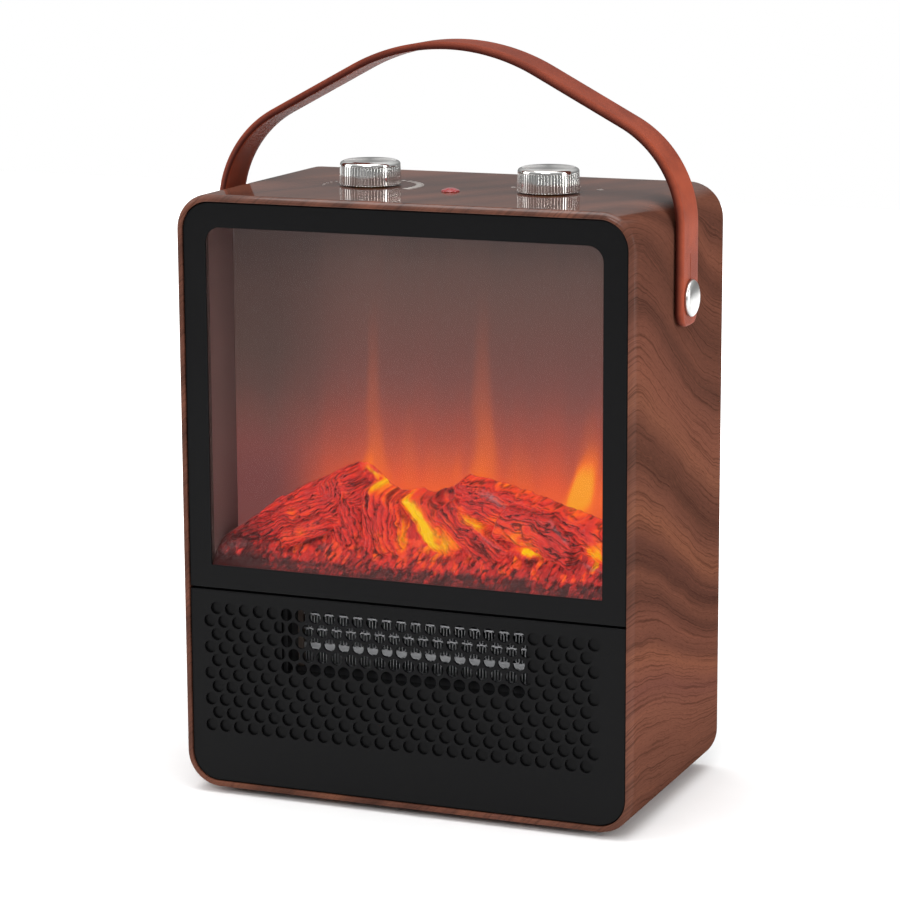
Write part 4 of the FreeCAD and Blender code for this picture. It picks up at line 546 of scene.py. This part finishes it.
def emberBed(e):
    # a relief seen from the front: depth is the furthest forward of the sloped bed and of each round log
    low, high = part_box("log_bed")
    left, right, bottom = low.x / mm, high.x / mm, low.z / mm
    near, far = low.y / mm, high.y / mm
    reach = far - near
    across = np.linspace(left, right, e["columns"])
    crest = np.interp(across, *zip(*e["ridge"]))
    crest = crest + (layers(across / 2.6, across * 0 + 3.1, 21, 3) - 0.5) * 2.0
    share = np.linspace(0, 1, e["rows"])
    x = np.broadcast_to(across, (e["rows"], e["columns"])).copy()
    z = bottom + share[:, None] * (crest - bottom)[None, :]
    bentX = x + (layers(x / 8.0, z / 8.0, 3) - 0.5) * 5.0
    bentZ = z + (layers(x / 8.0, z / 8.0, 13) - 0.5) * 5.0

    def spots(listed):
        # soft oval spots, each turned by its own tilt
        total = np.zeros(x.shape)
        for middle, up, long, wide, tilt, strength in listed:
            turn = math.radians(tilt)
            along = (bentX - middle) * math.cos(turn) + (bentZ - up) * math.sin(turn)
            beside = (bentZ - up) * math.cos(turn) - (bentX - middle) * math.sin(turn)
            total = total + strength * np.exp(-(along / long) ** 2 - (beside / wide) ** 2)
        return total

    slope = reach - np.clip((z - bottom) * 1.15, 0, 16) - np.clip((z - bottom - 12) * 0.42, 0, 30)
    ragged = (layers(x / 1.6, z / 1.6, 27, 3) - 0.5) * 2.6
    chips, own = coals((x + ragged) / 2.5 + bentZ * 0.08, (z + ragged) / 3.4, 4)
    foot = np.clip((z - bottom - 3) / 3, 0, 1) * np.clip((bottom + 19 - z) / 6, 0, 1)
    depth = slope + foot * (2.8 * (1 - chips) * (0.4 + own))
    soot = np.clip(chips * 1.9 - 0.85, 0, 1)
    heat = 0.54 + 0.22 * (own - 0.5) + 0.05 * foot * (own > 0.72)
    for index, (begin, finish, thick, wide, lift, bark, bow, strand) in enumerate(e["logs"]):
        run = np.hypot(finish[0] - begin[0], finish[1] - begin[1])
        ux, uz = (finish[0] - begin[0]) / run, (finish[1] - begin[1]) / run
        along = (bentX - begin[0]) * ux + (bentZ - begin[1]) * uz
        part = np.clip(along / run, 0, 1)
        side = (bentZ - begin[1]) * ux - (bentX - begin[0]) * uz - bow * 4 * part * (1 - part)
        radius = thick + (wide - thick) * part
        past = np.maximum(np.maximum(-along, along - run), 0)
        swell = 1 - (side / radius) ** 2 - (past / 3.2) ** 2
        curl = np.arcsin(np.clip(side / radius, -1, 1)) * radius
        drift = (layers(along / 11.0, curl / 9.0, 40 + index, 3) - 0.5) * 4.5
        strands = np.abs(np.modf((curl + drift) / strand + 50.0)[0] * 2 - 1)
        fibre = layers(along / 9.0 + index * 7, (curl + drift) / (strand * 0.55), 50 + index)
        plates = layers(along / 5.0, curl / 3.0, 70 + index, 3)
        cut = np.clip(1.5 - np.abs(fibre - 0.5) / 0.045, 0, 1)
        cut = np.maximum(cut, np.clip((strands - 0.74) / 0.18, 0, 1) * np.clip(plates * 3.2 - 0.95, 0, 1))
        block = lift + radius * 0.95 * np.sqrt(np.clip(swell, 0, 1))
        block = block + bark * ((plates - 0.5) * 1.6 + (1 - strands) * 0.7 - cut * 1.0)
        block = np.where(swell > 0, block, -50.0)
        ahead = block > depth
        depth = np.where(ahead, block, depth)
        # painted shade at the rim of each log, where it rounds away into the log behind
        edge = np.clip(1 - swell * 5.0, 0, 1) ** 1.5
        soot = np.where(ahead, np.clip(cut + 0.8 * edge, 0, 1), soot)
        heat = np.where(ahead, 0.57 + 0.22 * (plates - 0.5) + 0.10 * (0.5 - strands) * (bark > 0.9), heat)
    crumbs, crumbOwn = coals((x + ragged) / 1.9, (z + ragged) / 2.9, 9)
    foothills = np.clip((bottom + 17 + 4 * (layers(x / 5, x * 0, 61) - 0.5) - z) / 3, 0, 1)
    soot = np.maximum(soot, foothills * np.clip(crumbs * 2.8 - 1.05, 0, 1) * (crumbOwn > 0.2))
    flick, flickOwn = coals((x + ragged) / 2.6, (z + ragged) / 6.5, 17)
    heat = heat + foothills * np.clip(1 - flick * 1.6, 0, 1) * (flickOwn > 0.74) * 0.13
    hot = spots(e["heats"])
    heat = heat + hot * (0.82 + 0.36 * layers(bentX / 1.6, bentZ / 4.0, 66, 3))
    soot = soot * (1 - 0.85 * np.clip(hot * 2.6, 0, 1))
    # painted shadow: the clefts go dark and sink back
    dark = spots(e["shadows"])
    soot = np.clip(soot + dark, 0, 1)
    depth = depth - dark * 2.0
    ash = np.clip(spots(e["ashes"]) * (0.3 + 1.4 * layers(x / 1.2, z / 1.2, 31, 3)) - 0.25, 0, 1)
    # painted shade: the lower left end of the bed glows less and takes more dark
    shadedLeftEnd = np.clip((-58 - x) / 38, 0, 1) * np.clip((150 - z) / 22, 0, 1)
    mat = np.clip((bottom + 7.5 + 2.5 * (layers(x / 6, z / 6, 8) - 0.5) - z) / 2.0, 0, 1)
    worm = np.clip(1 - np.abs(layers(x / 4.5, z / 1.6, 88, 3) - 0.5) / 0.05, 0, 1)
    heat = heat - 0.24 * shadedLeftEnd - 0.24 * mat + worm * mat * 0.18
    soot = np.clip(soot + 0.62 * shadedLeftEnd * (layers(x / 2.5, z / 2.0, 91) > 0.47) + 0.25 * mat, 0, 1)
    rounding = np.sqrt(np.clip(1 - (np.clip(share - 0.92, 0, 1) / 0.08) ** 2, 0, 1))[:, None]
    depth = np.clip(depth, 1.5, reach - 0.2) * (0.06 + 0.94 * rounding)
    depth[1:-1, 1:-1] = (4 * depth[1:-1, 1:-1] + depth[:-2, 1:-1] + depth[2:, 1:-1]
                         + depth[1:-1, :-2] + depth[1:-1, 2:]) / 8
    front = np.stack([x, far - depth, z], -1).reshape(-1, 3)
    total = e["rows"] * e["columns"]
    index = np.arange(total).reshape(e["rows"], e["columns"])
    rim = np.concatenate([index[0, :], index[1:, -1], index[-1, -2::-1], index[-2:0:-1, 0]])
    back = front[rim].copy()
    back[:, 1] = far
    twin = total + np.arange(len(rim))
    wall = np.stack([rim, np.roll(rim, -1), np.roll(twin, -1), twin], -1)
    faces = gridFaces(e["rows"], e["columns"]).tolist() + wall[:, ::-1].tolist()
    fan = total + len(rim)
    points = np.concatenate([front, back, back.mean(0)[None, :]]) * mm
    faces += np.stack([twin, np.roll(twin, -1), np.full(len(rim), fan)], -1)[:, ::-1].tolist()
    marks = {}
    for key, values in (("warmth", heat), ("soot", soot), ("ash", ash)):
        flat = values.reshape(-1)
        marks[key] = np.concatenate([flat, flat[rim] * 0.5, [0.0]])
    return addPiece("emberBed", points, faces, "cabinet", emberResin(), "log_bed", marks)


def emberResin():
    s = Surface("emberResin")
    spot = s.place()
    heat = s.attribute("warmth")
    soot = s.attribute("soot")
    ash = s.attribute("ash")
    grit = s.noise(spot, 1100.0, 3.0, 0.6)
    flow = s.noise(spot, 320.0, 3.0, 0.6)
    warm = heat + (flow - 0.5) * 0.20 + (grit - 0.5) * 0.10
    glow = s.ramp(warm, (0.20, rgb(60, 22, 22)), (0.36, rgb(120, 40, 38)), (0.50, rgb(192, 46, 44)),
                  (0.60, rgb(228, 56, 46)), (0.72, rgb(248, 84, 36)), (0.84, rgb(255, 134, 18)),
                  (1.0, rgb(255, 198, 16)))
    sootAndShadeMask = (soot + (grit - 0.5) * 0.35).clamp()
    # soot in the cracks, and painted shade in the clefts, at the log rims and at the lower left end, darken the
    # glow
    glow = s.blend(sootAndShadeMask * 0.94, glow, rgb(38, 15, 16))
    glow = s.blend(ash * 0.8, glow, rgb(132, 84, 88))
    skin = s.blend(ash, rgb(44, 12, 10), rgb(96, 84, 84))
    return s.finish(Base_Color=skin, Roughness=0.34 + grit * 0.2, Emission_Color=glow, Emission_Strength=1.0,
                    Normal=s.bump(grit * 0.6 + flow * 0.4, 0.3, 0.0005), Specular_IOR_Level=0.2)


def lathe(profile, steps, ripple=None):
    # a profile of (radius, height) pairs turned about Z; a radius of 0 at either end becomes one pole
    radii, heights = np.array(profile).T
    angle = np.arange(steps) * 2 * math.pi / steps
    ring = radii[1:-1, None] * np.ones(steps)[None, :]
    if ripple is not None:
        ring = ring - ripple[0][1:-1, None] * ripple[1](angle)[None, :]
    high = np.broadcast_to(heights[1:-1, None], ring.shape)
    points = np.stack([ring * np.cos(angle), ring * np.sin(angle), high], -1).reshape(-1, 3)
    rows = len(radii) - 2
    faces = gridFaces(rows, steps, wrap=True).tolist()
    poles = np.array([[0, 0, heights[0]], [0, 0, heights[-1]]])
    first, last = rows * steps, rows * steps + 1
    begin = np.arange(steps)
    end = (rows - 1) * steps + begin
    faces += np.stack([np.roll(begin, -1), begin, np.full(steps, first)], -1).tolist()
    faces += np.stack([end, np.roll(end, -1), np.full(steps, last)], -1).tolist()
    return np.concatenate([points, poles]), faces


def softened(corners, radius, steps=4):
    # a profile with each inner corner cut back and bridged by a curve through the corner's two tangents
    corners = np.array(corners, float)
    made = [corners[0]]
    for before, here, after in zip(corners[:-2], corners[1:-1], corners[2:]):
        back, ahead = before - here, after - here
        room = min(radius, np.linalg.norm(back) * 0.45, np.linalg.norm(ahead) * 0.45)
        start = here + back / np.linalg.norm(back) * room
        stop = here + ahead / np.linalg.norm(ahead) * room
        for t in np.linspace(0, 1, steps):
            made.append((1 - t) ** 2 * start + 2 * t * (1 - t) * here + t ** 2 * stop)
    made.append(corners[-1])
    return np.array(made)


# turned knobs: sixty flutes under a polished rounded shoulder, and a very low cap
knob = {
    "flutes": 60, "fluteDepth": 0.60, "fluteSharpness": 5, "draft": 0.40, "skirt": 0.2, "wall": 2.4,
    "hollow": 5.0, "stemRadius": 3.05, "socketTop": 2.9, "pointerWidth": 0.9, "pointerDepth": 0.35,
    "pointerRun": (7.0, 12.4),
}


def turnedKnob(name, node, body, pointer, k):
    low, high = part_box(node)
    centre = ((low.x + high.x) / 2, (low.y + high.y) / 2)
    radius, tall = (high.x - low.x) / 2 / mm, (high.z - low.z) / mm
    crown = radius - k["draft"]
    corners = [
        (0, tall), (crown - 2.4, tall - 0.30), (crown - 1.7, tall - 0.62), (crown - 0.45, tall - 1.2),
        (crown, tall - 2.1), (crown, tall - 2.9), (crown, tall - 3.2), (radius, k["skirt"]),
        (radius - 0.2, 0.0), (radius - k["wall"], 0.0), (radius - k["wall"], k["hollow"]),
        (k["stemRadius"] + 1.6, k["hollow"]), (k["stemRadius"] + 1.6, 2.0), (k["stemRadius"], 2.0),
        (k["stemRadius"], tall - k["socketTop"]), (0, tall - k["socketTop"])]
    profile = softened(corners, 0.5)
    cap = np.linspace(0, 1, 16)[1:-1]
    dome = np.stack([cap * (crown - 3.2), tall - 0.30 * cap ** 2 * ((crown - 3.2) / (crown - 2.4)) ** 2], -1)
    profile = np.concatenate([profile[:1], dome, profile[1:]])
    r, h = profile.T
    band = (r > crown - 0.1) & (h < tall - 3.0) & (h > 0.15)
    points, faces = lathe(profile, k["flutes"] * 12, (
        band * k["fluteDepth"], lambda a: (0.5 - 0.5 * np.cos(a * k["flutes"])) ** k["fluteSharpness"]))
    turn = math.radians(pointer)
    along = points[:, 0] * math.cos(turn) + points[:, 1] * math.sin(turn)
    beside = -points[:, 0] * math.sin(turn) + points[:, 1] * math.cos(turn)
    inside = np.clip((k["pointerWidth"] / 2 - np.abs(beside)) / 0.15 + 0.5, 0, 1)
    inside = inside * (along > k["pointerRun"][0]) * (along < k["pointerRun"][1]) * (points[:, 2] > tall - 1)
    points[:, 2] -= inside * k["pointerDepth"]
    points = points * mm + np.array([centre[0], centre[1], low.z])
    material = knobChrome(name + "Chrome", centre, high.z, (crown - 1.8) * mm)
    return addPiece(name, points, faces, body, material, node)


# strap: one band, bent over the top, its lower ends rounded and slit above each stud
strap = {
    "slope": 28.0, "crown": 105.0, "shoulder": 58.0, "end": 8.0, "rim": 1.1, "spacing": 1.4,
    "wall": 3.7, "slitFoot": 13.5, "slitTop": 35.0, "slitHalf": 0.42, "slitDepth": 2.6,
}


def carryStrap(s):
    low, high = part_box("carry_strap")
    outer, top, foot = high.x / mm, high.z / mm, low.z / mm
    width, wall = (high.y - low.y) / mm, s["wall"]
    turn = math.radians(s["slope"])
    crown, shoulder = s["crown"] - wall / 2, s["shoulder"] - wall / 2
    leg, peak = outer - wall / 2, top - wall / 2
    crownEnd = np.array([crown * math.sin(turn), peak - crown * (1 - math.cos(turn))])
    shoulderX = leg - shoulder * (1 - math.sin(turn))
    shoulderEnd = np.array([shoulderX, crownEnd[1] - (shoulderX - crownEnd[0]) * math.tan(turn)])
    legEnd = shoulderEnd[1] - shoulder * math.cos(turn)
    legRun = legEnd - foot
    bendRun = shoulder * (math.pi / 2 - turn)
    slopeRun = np.linalg.norm(shoulderEnd - crownEnd)
    crownRun = crown * turn
    marks = np.cumsum([legRun, bendRun, slopeRun, crownRun])
    half = np.linspace(0, marks[3], int(marks[3] / s["spacing"]))
    half = np.concatenate([[0.0, 0.25, 0.7], half[1:]])

    def at(distance):
        # leg up, round the shoulder, straight up the slope, then round the crown to the middle
        bend = (distance - marks[0]) / shoulder
        arch = turn - (distance - marks[2]) / crown
        straight = (distance - marks[1]) / slopeRun
        slope = shoulderEnd[:, None] + (crownEnd - shoulderEnd)[:, None] * straight
        stretch = [distance < mark for mark in marks[:3]]
        xs = np.select(stretch, [leg + 0 * distance, leg - shoulder * (1 - np.cos(bend)), slope[0]],
                       crown * np.sin(arch))
        zs = np.select(stretch, [foot + distance, legEnd + shoulder * np.sin(bend), slope[1]],
                       peak - crown * (1 - np.cos(arch)))
        return xs, zs

    xs, zs = at(half)
    path = np.concatenate([np.stack([xs, zs], -1), np.stack([-xs, zs], -1)[-2::-1]])
    fromEnd = np.concatenate([half, half[-2::-1]])
    heading = np.gradient(path, axis=0)
    heading /= np.linalg.norm(heading, axis=1)[:, None]
    outwards = np.stack([heading[:, 1], -heading[:, 0]], -1)
    intoEnd = np.clip(s["end"] - fromEnd, 0, s["end"])
    narrow = width / 2 - (s["end"] - np.sqrt(s["end"] ** 2 - intoEnd ** 2))
    thin = wall / 2 * np.sqrt(np.clip(1 - (1 - np.clip(fromEnd / 0.7, 0.25, 1)) ** 2, 0, 1))
    rim = s["rim"]
    flat = np.array([-1.0, -0.8, -0.6, -0.4, -0.22, -0.1])
    slit = np.array([-s["slitHalf"] - 0.25, -s["slitHalf"], -s["slitHalf"] * 0.8])
    corner = np.linspace(0, math.pi / 2, 5)[1:]
    columns, edge = [], []
    for sign in (1.0, -1.0):
        columns += [(spot, 0.0, 0.0, sign) for spot in flat]
        columns += [(0.0, spot, 0.0, sign) for spot in np.concatenate([slit, -slit[::-1]])]
        columns += [(spot, 0.0, 0.0, sign) for spot in -flat[::-1]]
        columns += [(1.0, 0.0, bend, sign) for bend in corner]
    points = []
    for share, fixed, bend, sign in columns:
        across = share * (narrow - rim) + fixed + (rim * math.sin(bend) if bend else 0.0)
        lift = thin - (np.minimum(rim, thin) * (1 - math.cos(bend)) if bend else 0.0)
        inSlit = (abs(fixed) < s["slitHalf"]) & (fixed != 0.0)
        gaping = (fromEnd > s["slitFoot"]) & (fromEnd < s["slitTop"]) & inSlit
        deep = np.where(gaping, np.minimum(s["slitDepth"] / 2, thin * 0.8), 0.0)
        across = across * sign
        place = path + outwards * ((lift - deep) * sign)[:, None]
        points.append(np.stack([place[:, 0], across, place[:, 1]], -1))
        # the edge mark: burnished rims, and painted shade on the floors of the slits, which stand in for dark
        # openings
        edge.append(np.where(gaping, 1.0, (bend > 0.6) * 1.0) * np.ones(len(path)))
    grid = np.stack(points, 1)
    rows, count = grid.shape[:2]
    faces = gridFaces(rows, count, wrap=True).tolist()
    faces.append(list(range(count))[::-1])
    faces.append([(rows - 1) * count + index for index in range(count)])
    return addPiece("leatherStrap", grid.reshape(-1, 3) * mm, faces, "strap", strapLeather(leather),
                    "carry_strap", {"edge": np.stack(edge, 1)})


# strap studs: collar, neck through the leather, and a low dome with a rolled edge
stud = {"bulge": 3.0, "neck": 3.0, "collar": 6.0, "collarWall": 0.5, "shank": 1.7, "shankRun": 8.0}


def studs(k):
    low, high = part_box("strap_studs")
    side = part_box("outer_sleeve")[1].x
    middle = (low.z + high.z) / 2
    size, reach = (high.z - low.z) / 2 / mm, high.x / mm - side / mm
    brim = reach - k["bulge"]
    curve = np.linspace(0, math.pi / 2, 18)
    dome = [(size * math.sin(t) * 0.985, reach - k["bulge"] * (1 - math.cos(t)) * 0.9) for t in curve]
    profile = dome + [
        (size, brim - 0.2), (size - 0.3, brim - 0.9), (size - 1.5, brim - 0.95), (k["neck"], brim - 0.95),
        (k["neck"], k["collarWall"]), (k["collar"], k["collarWall"]), (k["collar"], 0.0), (k["shank"], 0.0),
        (k["shank"], -k["shankRun"]), (0.0, -k["shankRun"])]
    for name, sign in (("studRight", 1.0), ("studLeft", -1.0)):
        points, faces = lathe(profile, 96)
        turned = np.stack([points[:, 2] * sign, points[:, 0], points[:, 1] * sign], -1) * mm
        turned += np.array([side * sign, 0.0, middle])
        addPiece(name, turned, faces, "cabinet", nickel, "strap_studs")


# red pilot lens: a stem in the roof, a thin flange, and stepped rings under a low dome
pilot = {
    "facets": 10, "wall": 1.1, "bore": 2.6, "stemRun": 6.5, "boreRun": 2.0,
    "rings": [           # radius, drop from the top, how deep the facets cut there
        (0, 0, 0), (0.9, 0.03, 0), (1.7, 0.14, 0.1), (2.2, 0.30, 0.22), (2.5, 0.44, 0.3), (2.9, 0.46, 0.12),
        (3.2, 0.62, 0.3), (3.5, 0.80, 0.3), (3.9, 0.84, 0.1), (4.3, 1.05, 0.1)],
}


def pilotLens(k):
    low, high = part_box("pilot_lens")
    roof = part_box("outer_sleeve")[1].z
    radius, top = (high.x - low.x) / 2 / mm, (high.z - roof) / mm
    inner = radius - k["wall"]
    profile = [(out, top - drop) for out, drop, cut in k["rings"]]
    profile += [
        (radius - 0.1, top - 1.35), (radius, top - 1.6), (radius, 0.0), (inner, 0.0), (inner, -k["stemRun"]),
        (k["bore"], -k["stemRun"]), (k["bore"], -k["boreRun"]), (0, -k["boreRun"])]
    cuts = np.zeros(len(profile))
    cuts[:len(k["rings"])] = [cut for out, drop, cut in k["rings"]]
    points, faces = lathe(profile, 120, (cuts, lambda a: 0.5 - 0.5 * np.cos(a * k["facets"])))
    points = points * mm + np.array([(low.x + high.x) / 2, (low.y + high.y) / 2, roof])
    addPiece("pilotLens", points, faces, "cabinet", redLens(), "pilot_lens")


# dial marks printed on the top: a sweep of blocks that grow, and small bars at the four switch places
dial = {
    "from": 200.0, "sweep": -220.0, "count": 23, "radius": 23.6, "small": (0.9, 1.3), "large": (3.0, 5.0),
    "ink": 0.05, "switchRadius": 28.0, "switchFrom": 149.0, "switchStep": -35.0,
}


def inkBlocks(name, blocks, height):
    # each block is a thin rounded tile: angle and distance from a centre, width across and length outwards
    points, faces = [], []
    for centre, angle, distance, wide, long, shift in blocks:
        turn = math.radians(angle)
        out = np.array([math.cos(turn), math.sin(turn)])
        beside = np.array([-out[1], out[0]])
        middle = np.array(centre) + out * distance + beside * shift
        soft = min(wide, long) * 0.18
        outline = []
        for sx, sy, start in ((1, 1, 0), (-1, 1, 90), (-1, -1, 180), (1, -1, 270)):
            for step in (0, 30, 60, 90):
                bend = math.radians(start + step)
                outline.append(middle + out * (sx * (long / 2 - soft) + soft * math.cos(bend))
                               + beside * (sy * (wide / 2 - soft) + soft * math.sin(bend)))
        outline = np.array(outline)
        count, first = len(outline), len(points)
        for level in (0.0, height):
            points.extend([p[0], p[1], level] for p in outline)
        ring = np.arange(count)
        after = np.roll(ring, -1)
        faces += (first + np.stack([ring, after, after + count, ring + count], -1)).tolist()
        faces.append((first + ring[::-1]).tolist())
        faces.append((first + count + ring).tolist())
    return np.array(points), faces


def dialMarks(d):
    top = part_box("outer_sleeve")[1].z
    blocks = []
    low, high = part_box("thermostat_knob")
    centre = ((low.x + high.x) / 2 / mm, (low.y + high.y) / 2 / mm)
    for index in range(d["count"]):
        share = index / (d["count"] - 1)
        wide = d["small"][0] + (d["large"][0] - d["small"][0]) * share ** 1.6
        long = d["small"][1] + (d["large"][1] - d["small"][1]) * share ** 1.6
        blocks.append((centre, d["from"] + d["sweep"] * share, d["radius"] + long / 2 - 0.6, wide, long, 0.0))
    low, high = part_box("selector_knob")
    centre = ((low.x + high.x) / 2 / mm, (low.y + high.y) / 2 / mm)
    for place in range(4):
        angle = d["switchFrom"] + d["switchStep"] * place
        if place == 0:
            blocks.append((centre, angle, d["switchRadius"], 2.2, 2.2, 0.0))
        for bar in range(place):
            blocks.append((centre, angle, d["switchRadius"], 0.7, 2.6, (bar - (place - 1) / 2) * 1.6))
    points, faces = inkBlocks("dialMarks", blocks, d["ink"])
    points = points * mm + np.array([0, 0, top])
    addPiece("dialMarks", points, faces, "cabinet", plastic("dialInk", rgb(205, 200, 195), 0.5, 0.05, 1500.0))


# materials for the record's slots, one of each
blackPanel = satinBlack("blackPanel", rgb(8, 8, 9), 0.40, 0.10)
nickel = satinNickel()
finishes = {
    "walnut_film": walnutFilm(walnut),
    "black_panel": blackPanel,
    "black_plastic": satinBlack("blackMoulding", rgb(22, 22, 23), 0.52, 0.30),
    "clear_pane": clearPane(pane),
    "chamber_liner": plastic("chamberLiner", rgb(104, 76, 72), 0.55, 0.10),
    "flame_screen": flameScreen(flames),
    "ember_resin": plastic("emberCore", rgb(120, 40, 34)),
    "circuit_board": circuitBoard(),
    "led_resin": ledResin("ledResin", rgb(226, 150, 70), rgb(255, 120, 30), 1.5),
    "zinc_steel": metal("zincSteel", rgb(176, 178, 182), 0.34),
    "black_steel": metal("blackSteel", rgb(40, 40, 42), 0.42),
    "nylon": plastic("nylon", rgb(214, 210, 198), 0.45, 0.08),
    "aluminium": metal("aluminium", rgb(160, 161, 163), 0.30, (60.0, 1.0, 60.0)),
    "heater_plastic": plastic("heaterPlastic", rgb(74, 62, 54), 0.6),
    "brass": metal("brass", rgb(206, 168, 92), 0.28),
    "duct_plastic": plastic("ductPlastic", rgb(44, 44, 46), 0.55),
    "silicon_steel": metal("siliconSteel", rgb(136, 140, 146), 0.36, (400.0, 2.0, 2.0), 0.3),
    "copper_winding": copperWinding(),
    "red_lens": redLens(),
    "satin_nickel": nickel,
    "black_rubber": rubber("blackRubber", rgb(30, 30, 31)),
    "chrome": metal("chrome", rgb(220, 220, 220), 0.12),
    "tan_leather": plastic("strapCore", rgb(150, 72, 50)),
    "reflector_foil": metal("reflectorFoil", rgb(228, 230, 234), 0.14),
}


def dressNodes():
    slots = {entry["node"]: entry["material_slot"] for entry in frame["record"]["subparts"]}
    for name, node in frame["nodes"].items():
        for place in node.material_slots:
            place.material = finishes[slots[name]]


# camera and studio
view = {"lens": 127.1, "sensor": 36.0, "turn": 22.35, "tilt": 11.33, "roll": -0.28,
        "place": (0.5981, -1.4601, 0.4888)}


def camera(v):
    turn, tilt, roll = (math.radians(v[key]) for key in ("turn", "tilt", "roll"))
    back = Vector((math.sin(turn) * math.cos(tilt), -math.cos(turn) * math.cos(tilt), math.sin(tilt)))
    right = (-back).cross(Vector((0, 0, 1))).normalized()
    up = right.cross(-back)
    rolledRight = right * math.cos(roll) + up * math.sin(roll)
    rolledUp = up * math.cos(roll) - right * math.sin(roll)
    lens = bpy.data.cameras.new("camera")
    lens.lens = v["lens"]
    lens.sensor_width = v["sensor"]
    lens.clip_end = 50.0
    holder = bpy.data.objects.new("camera", lens)
    facing = Matrix((rolledRight, rolledUp, back)).transposed().to_4x4()
    holder.matrix_world = Matrix.Translation(v["place"]) @ facing
    bpy.context.scene.collection.objects.link(holder)
    bpy.context.scene.camera = holder


studio = {
    "floor": 2.4, "fade": (0.15, 0.9), "sky": rgb(255, 255, 255),
    "glow": [(0.0, 0.9), (0.5, 0.20), (0.60, 0.32), (1.0, 1.0)],      # from straight down to straight up
    "lamps": [           # name, place, aim height, width, height, watts
        ("topLamp", (0.0, -0.2, 2.2), 0.2, 2.0, 1.8, 30.0),
        ("frontLamp", (0.4, -2.4, 1.7), 0.1, 1.4, 0.9, 22.0),
        ("stripLamp", (1.50, -0.21, 0.50), 0.4, 0.26, 1.0, 10.0),
        ("leftLamp", (-1.5, -0.5, 0.6), 0.2, 0.8, 1.1, 7.0)],
}


def setStudio(s):
    # a pale paper floor that brightens into the background behind the heater
    half = s["floor"]
    floor = bpy.data.meshes.new("floor")
    corners = [(-half, -half, 0), (half, -half, 0), (half, half, 0), (-half, half, 0)]
    floor.from_pydata(corners, [], [(0, 1, 2, 3)])
    sheet = Surface("floorPaper")
    fleck = sheet.noise(sheet.place(), 30.0, 2.0, 0.5)
    far = sheet.split(sheet.place())[1].step(*s["fade"])
    floor.materials.append(sheet.finish(Base_Color=sheet.blend(fleck, rgb(247, 247, 247), rgb(252, 252, 252)),
                                        Roughness=0.9, Specular_IOR_Level=0.1, Emission_Strength=1.0,
                                        Emission_Color=sheet.blend(far, rgb(0, 0, 0), rgb(235, 235, 235))))
    paper = bpy.data.objects.new("floor", floor)
    bpy.context.scene.collection.objects.link(paper)
    world = bpy.data.worlds.new("studio")
    bpy.context.scene.world = world
    world.use_nodes = True
    tree = world.node_tree
    tree.nodes.clear()
    ray = tree.nodes.new("ShaderNodeLightPath")
    where = tree.nodes.new("ShaderNodeTexCoord")
    parts = tree.nodes.new("ShaderNodeSeparateXYZ")
    upright = tree.nodes.new("ShaderNodeMapRange")
    upright.inputs["From Min"].default_value = -1.0
    ramp = tree.nodes.new("ShaderNodeValToRGB")
    sheet.setStops(ramp.color_ramp, [(height, (light, light, light, 1.0)) for height, light in s["glow"]])
    ground = tree.nodes.new("ShaderNodeBackground")
    seen = tree.nodes.new("ShaderNodeBackground")
    seen.inputs["Color"].default_value = s["sky"]
    mix = tree.nodes.new("ShaderNodeMixShader")
    out = tree.nodes.new("ShaderNodeOutputWorld")
    tree.links.new(where.outputs["Generated"], parts.inputs["Vector"])
    tree.links.new(parts.outputs["Z"], upright.inputs["Value"])
    tree.links.new(upright.outputs["Result"], ramp.inputs["Fac"])
    tree.links.new(ramp.outputs["Color"], ground.inputs["Color"])
    tree.links.new(ray.outputs["Is Camera Ray"], mix.inputs["Fac"])
    tree.links.new(ground.outputs[0], mix.inputs[1])
    tree.links.new(seen.outputs[0], mix.inputs[2])
    tree.links.new(mix.outputs[0], out.inputs["Surface"])
    for name, place, aimHeight, wide, tall, watts in s["lamps"]:
        lamp = bpy.data.lights.new(name, "AREA")
        lamp.shape = "RECTANGLE"
        lamp.size, lamp.size_y = wide, tall
        lamp.energy = watts
        holder = bpy.data.objects.new(name, lamp)
        aim = Vector((0.0, 0.0, aimHeight)) - Vector(place)
        holder.matrix_world = Matrix.Translation(place) @ aim.to_track_quat("-Z", "Y").to_matrix().to_4x4()
        bpy.context.scene.collection.objects.link(holder)
    bpy.context.scene.view_settings.view_transform = "Standard"


camera(view)
setStudio(studio)
print("camera and studio set")
dressNodes()
print("materials on every node")
emberBed(ember)
turnedKnob("thermostatKnob", "thermostat_knob", "thermostat_dial", dial["from"], knob)
turnedKnob("selectorKnob", "selector_knob", "selector_dial", dial["switchFrom"], knob)
carryStrap(strap)
studs(stud)
pilotLens(pilot)
dialMarks(dial)
print("pieces built")
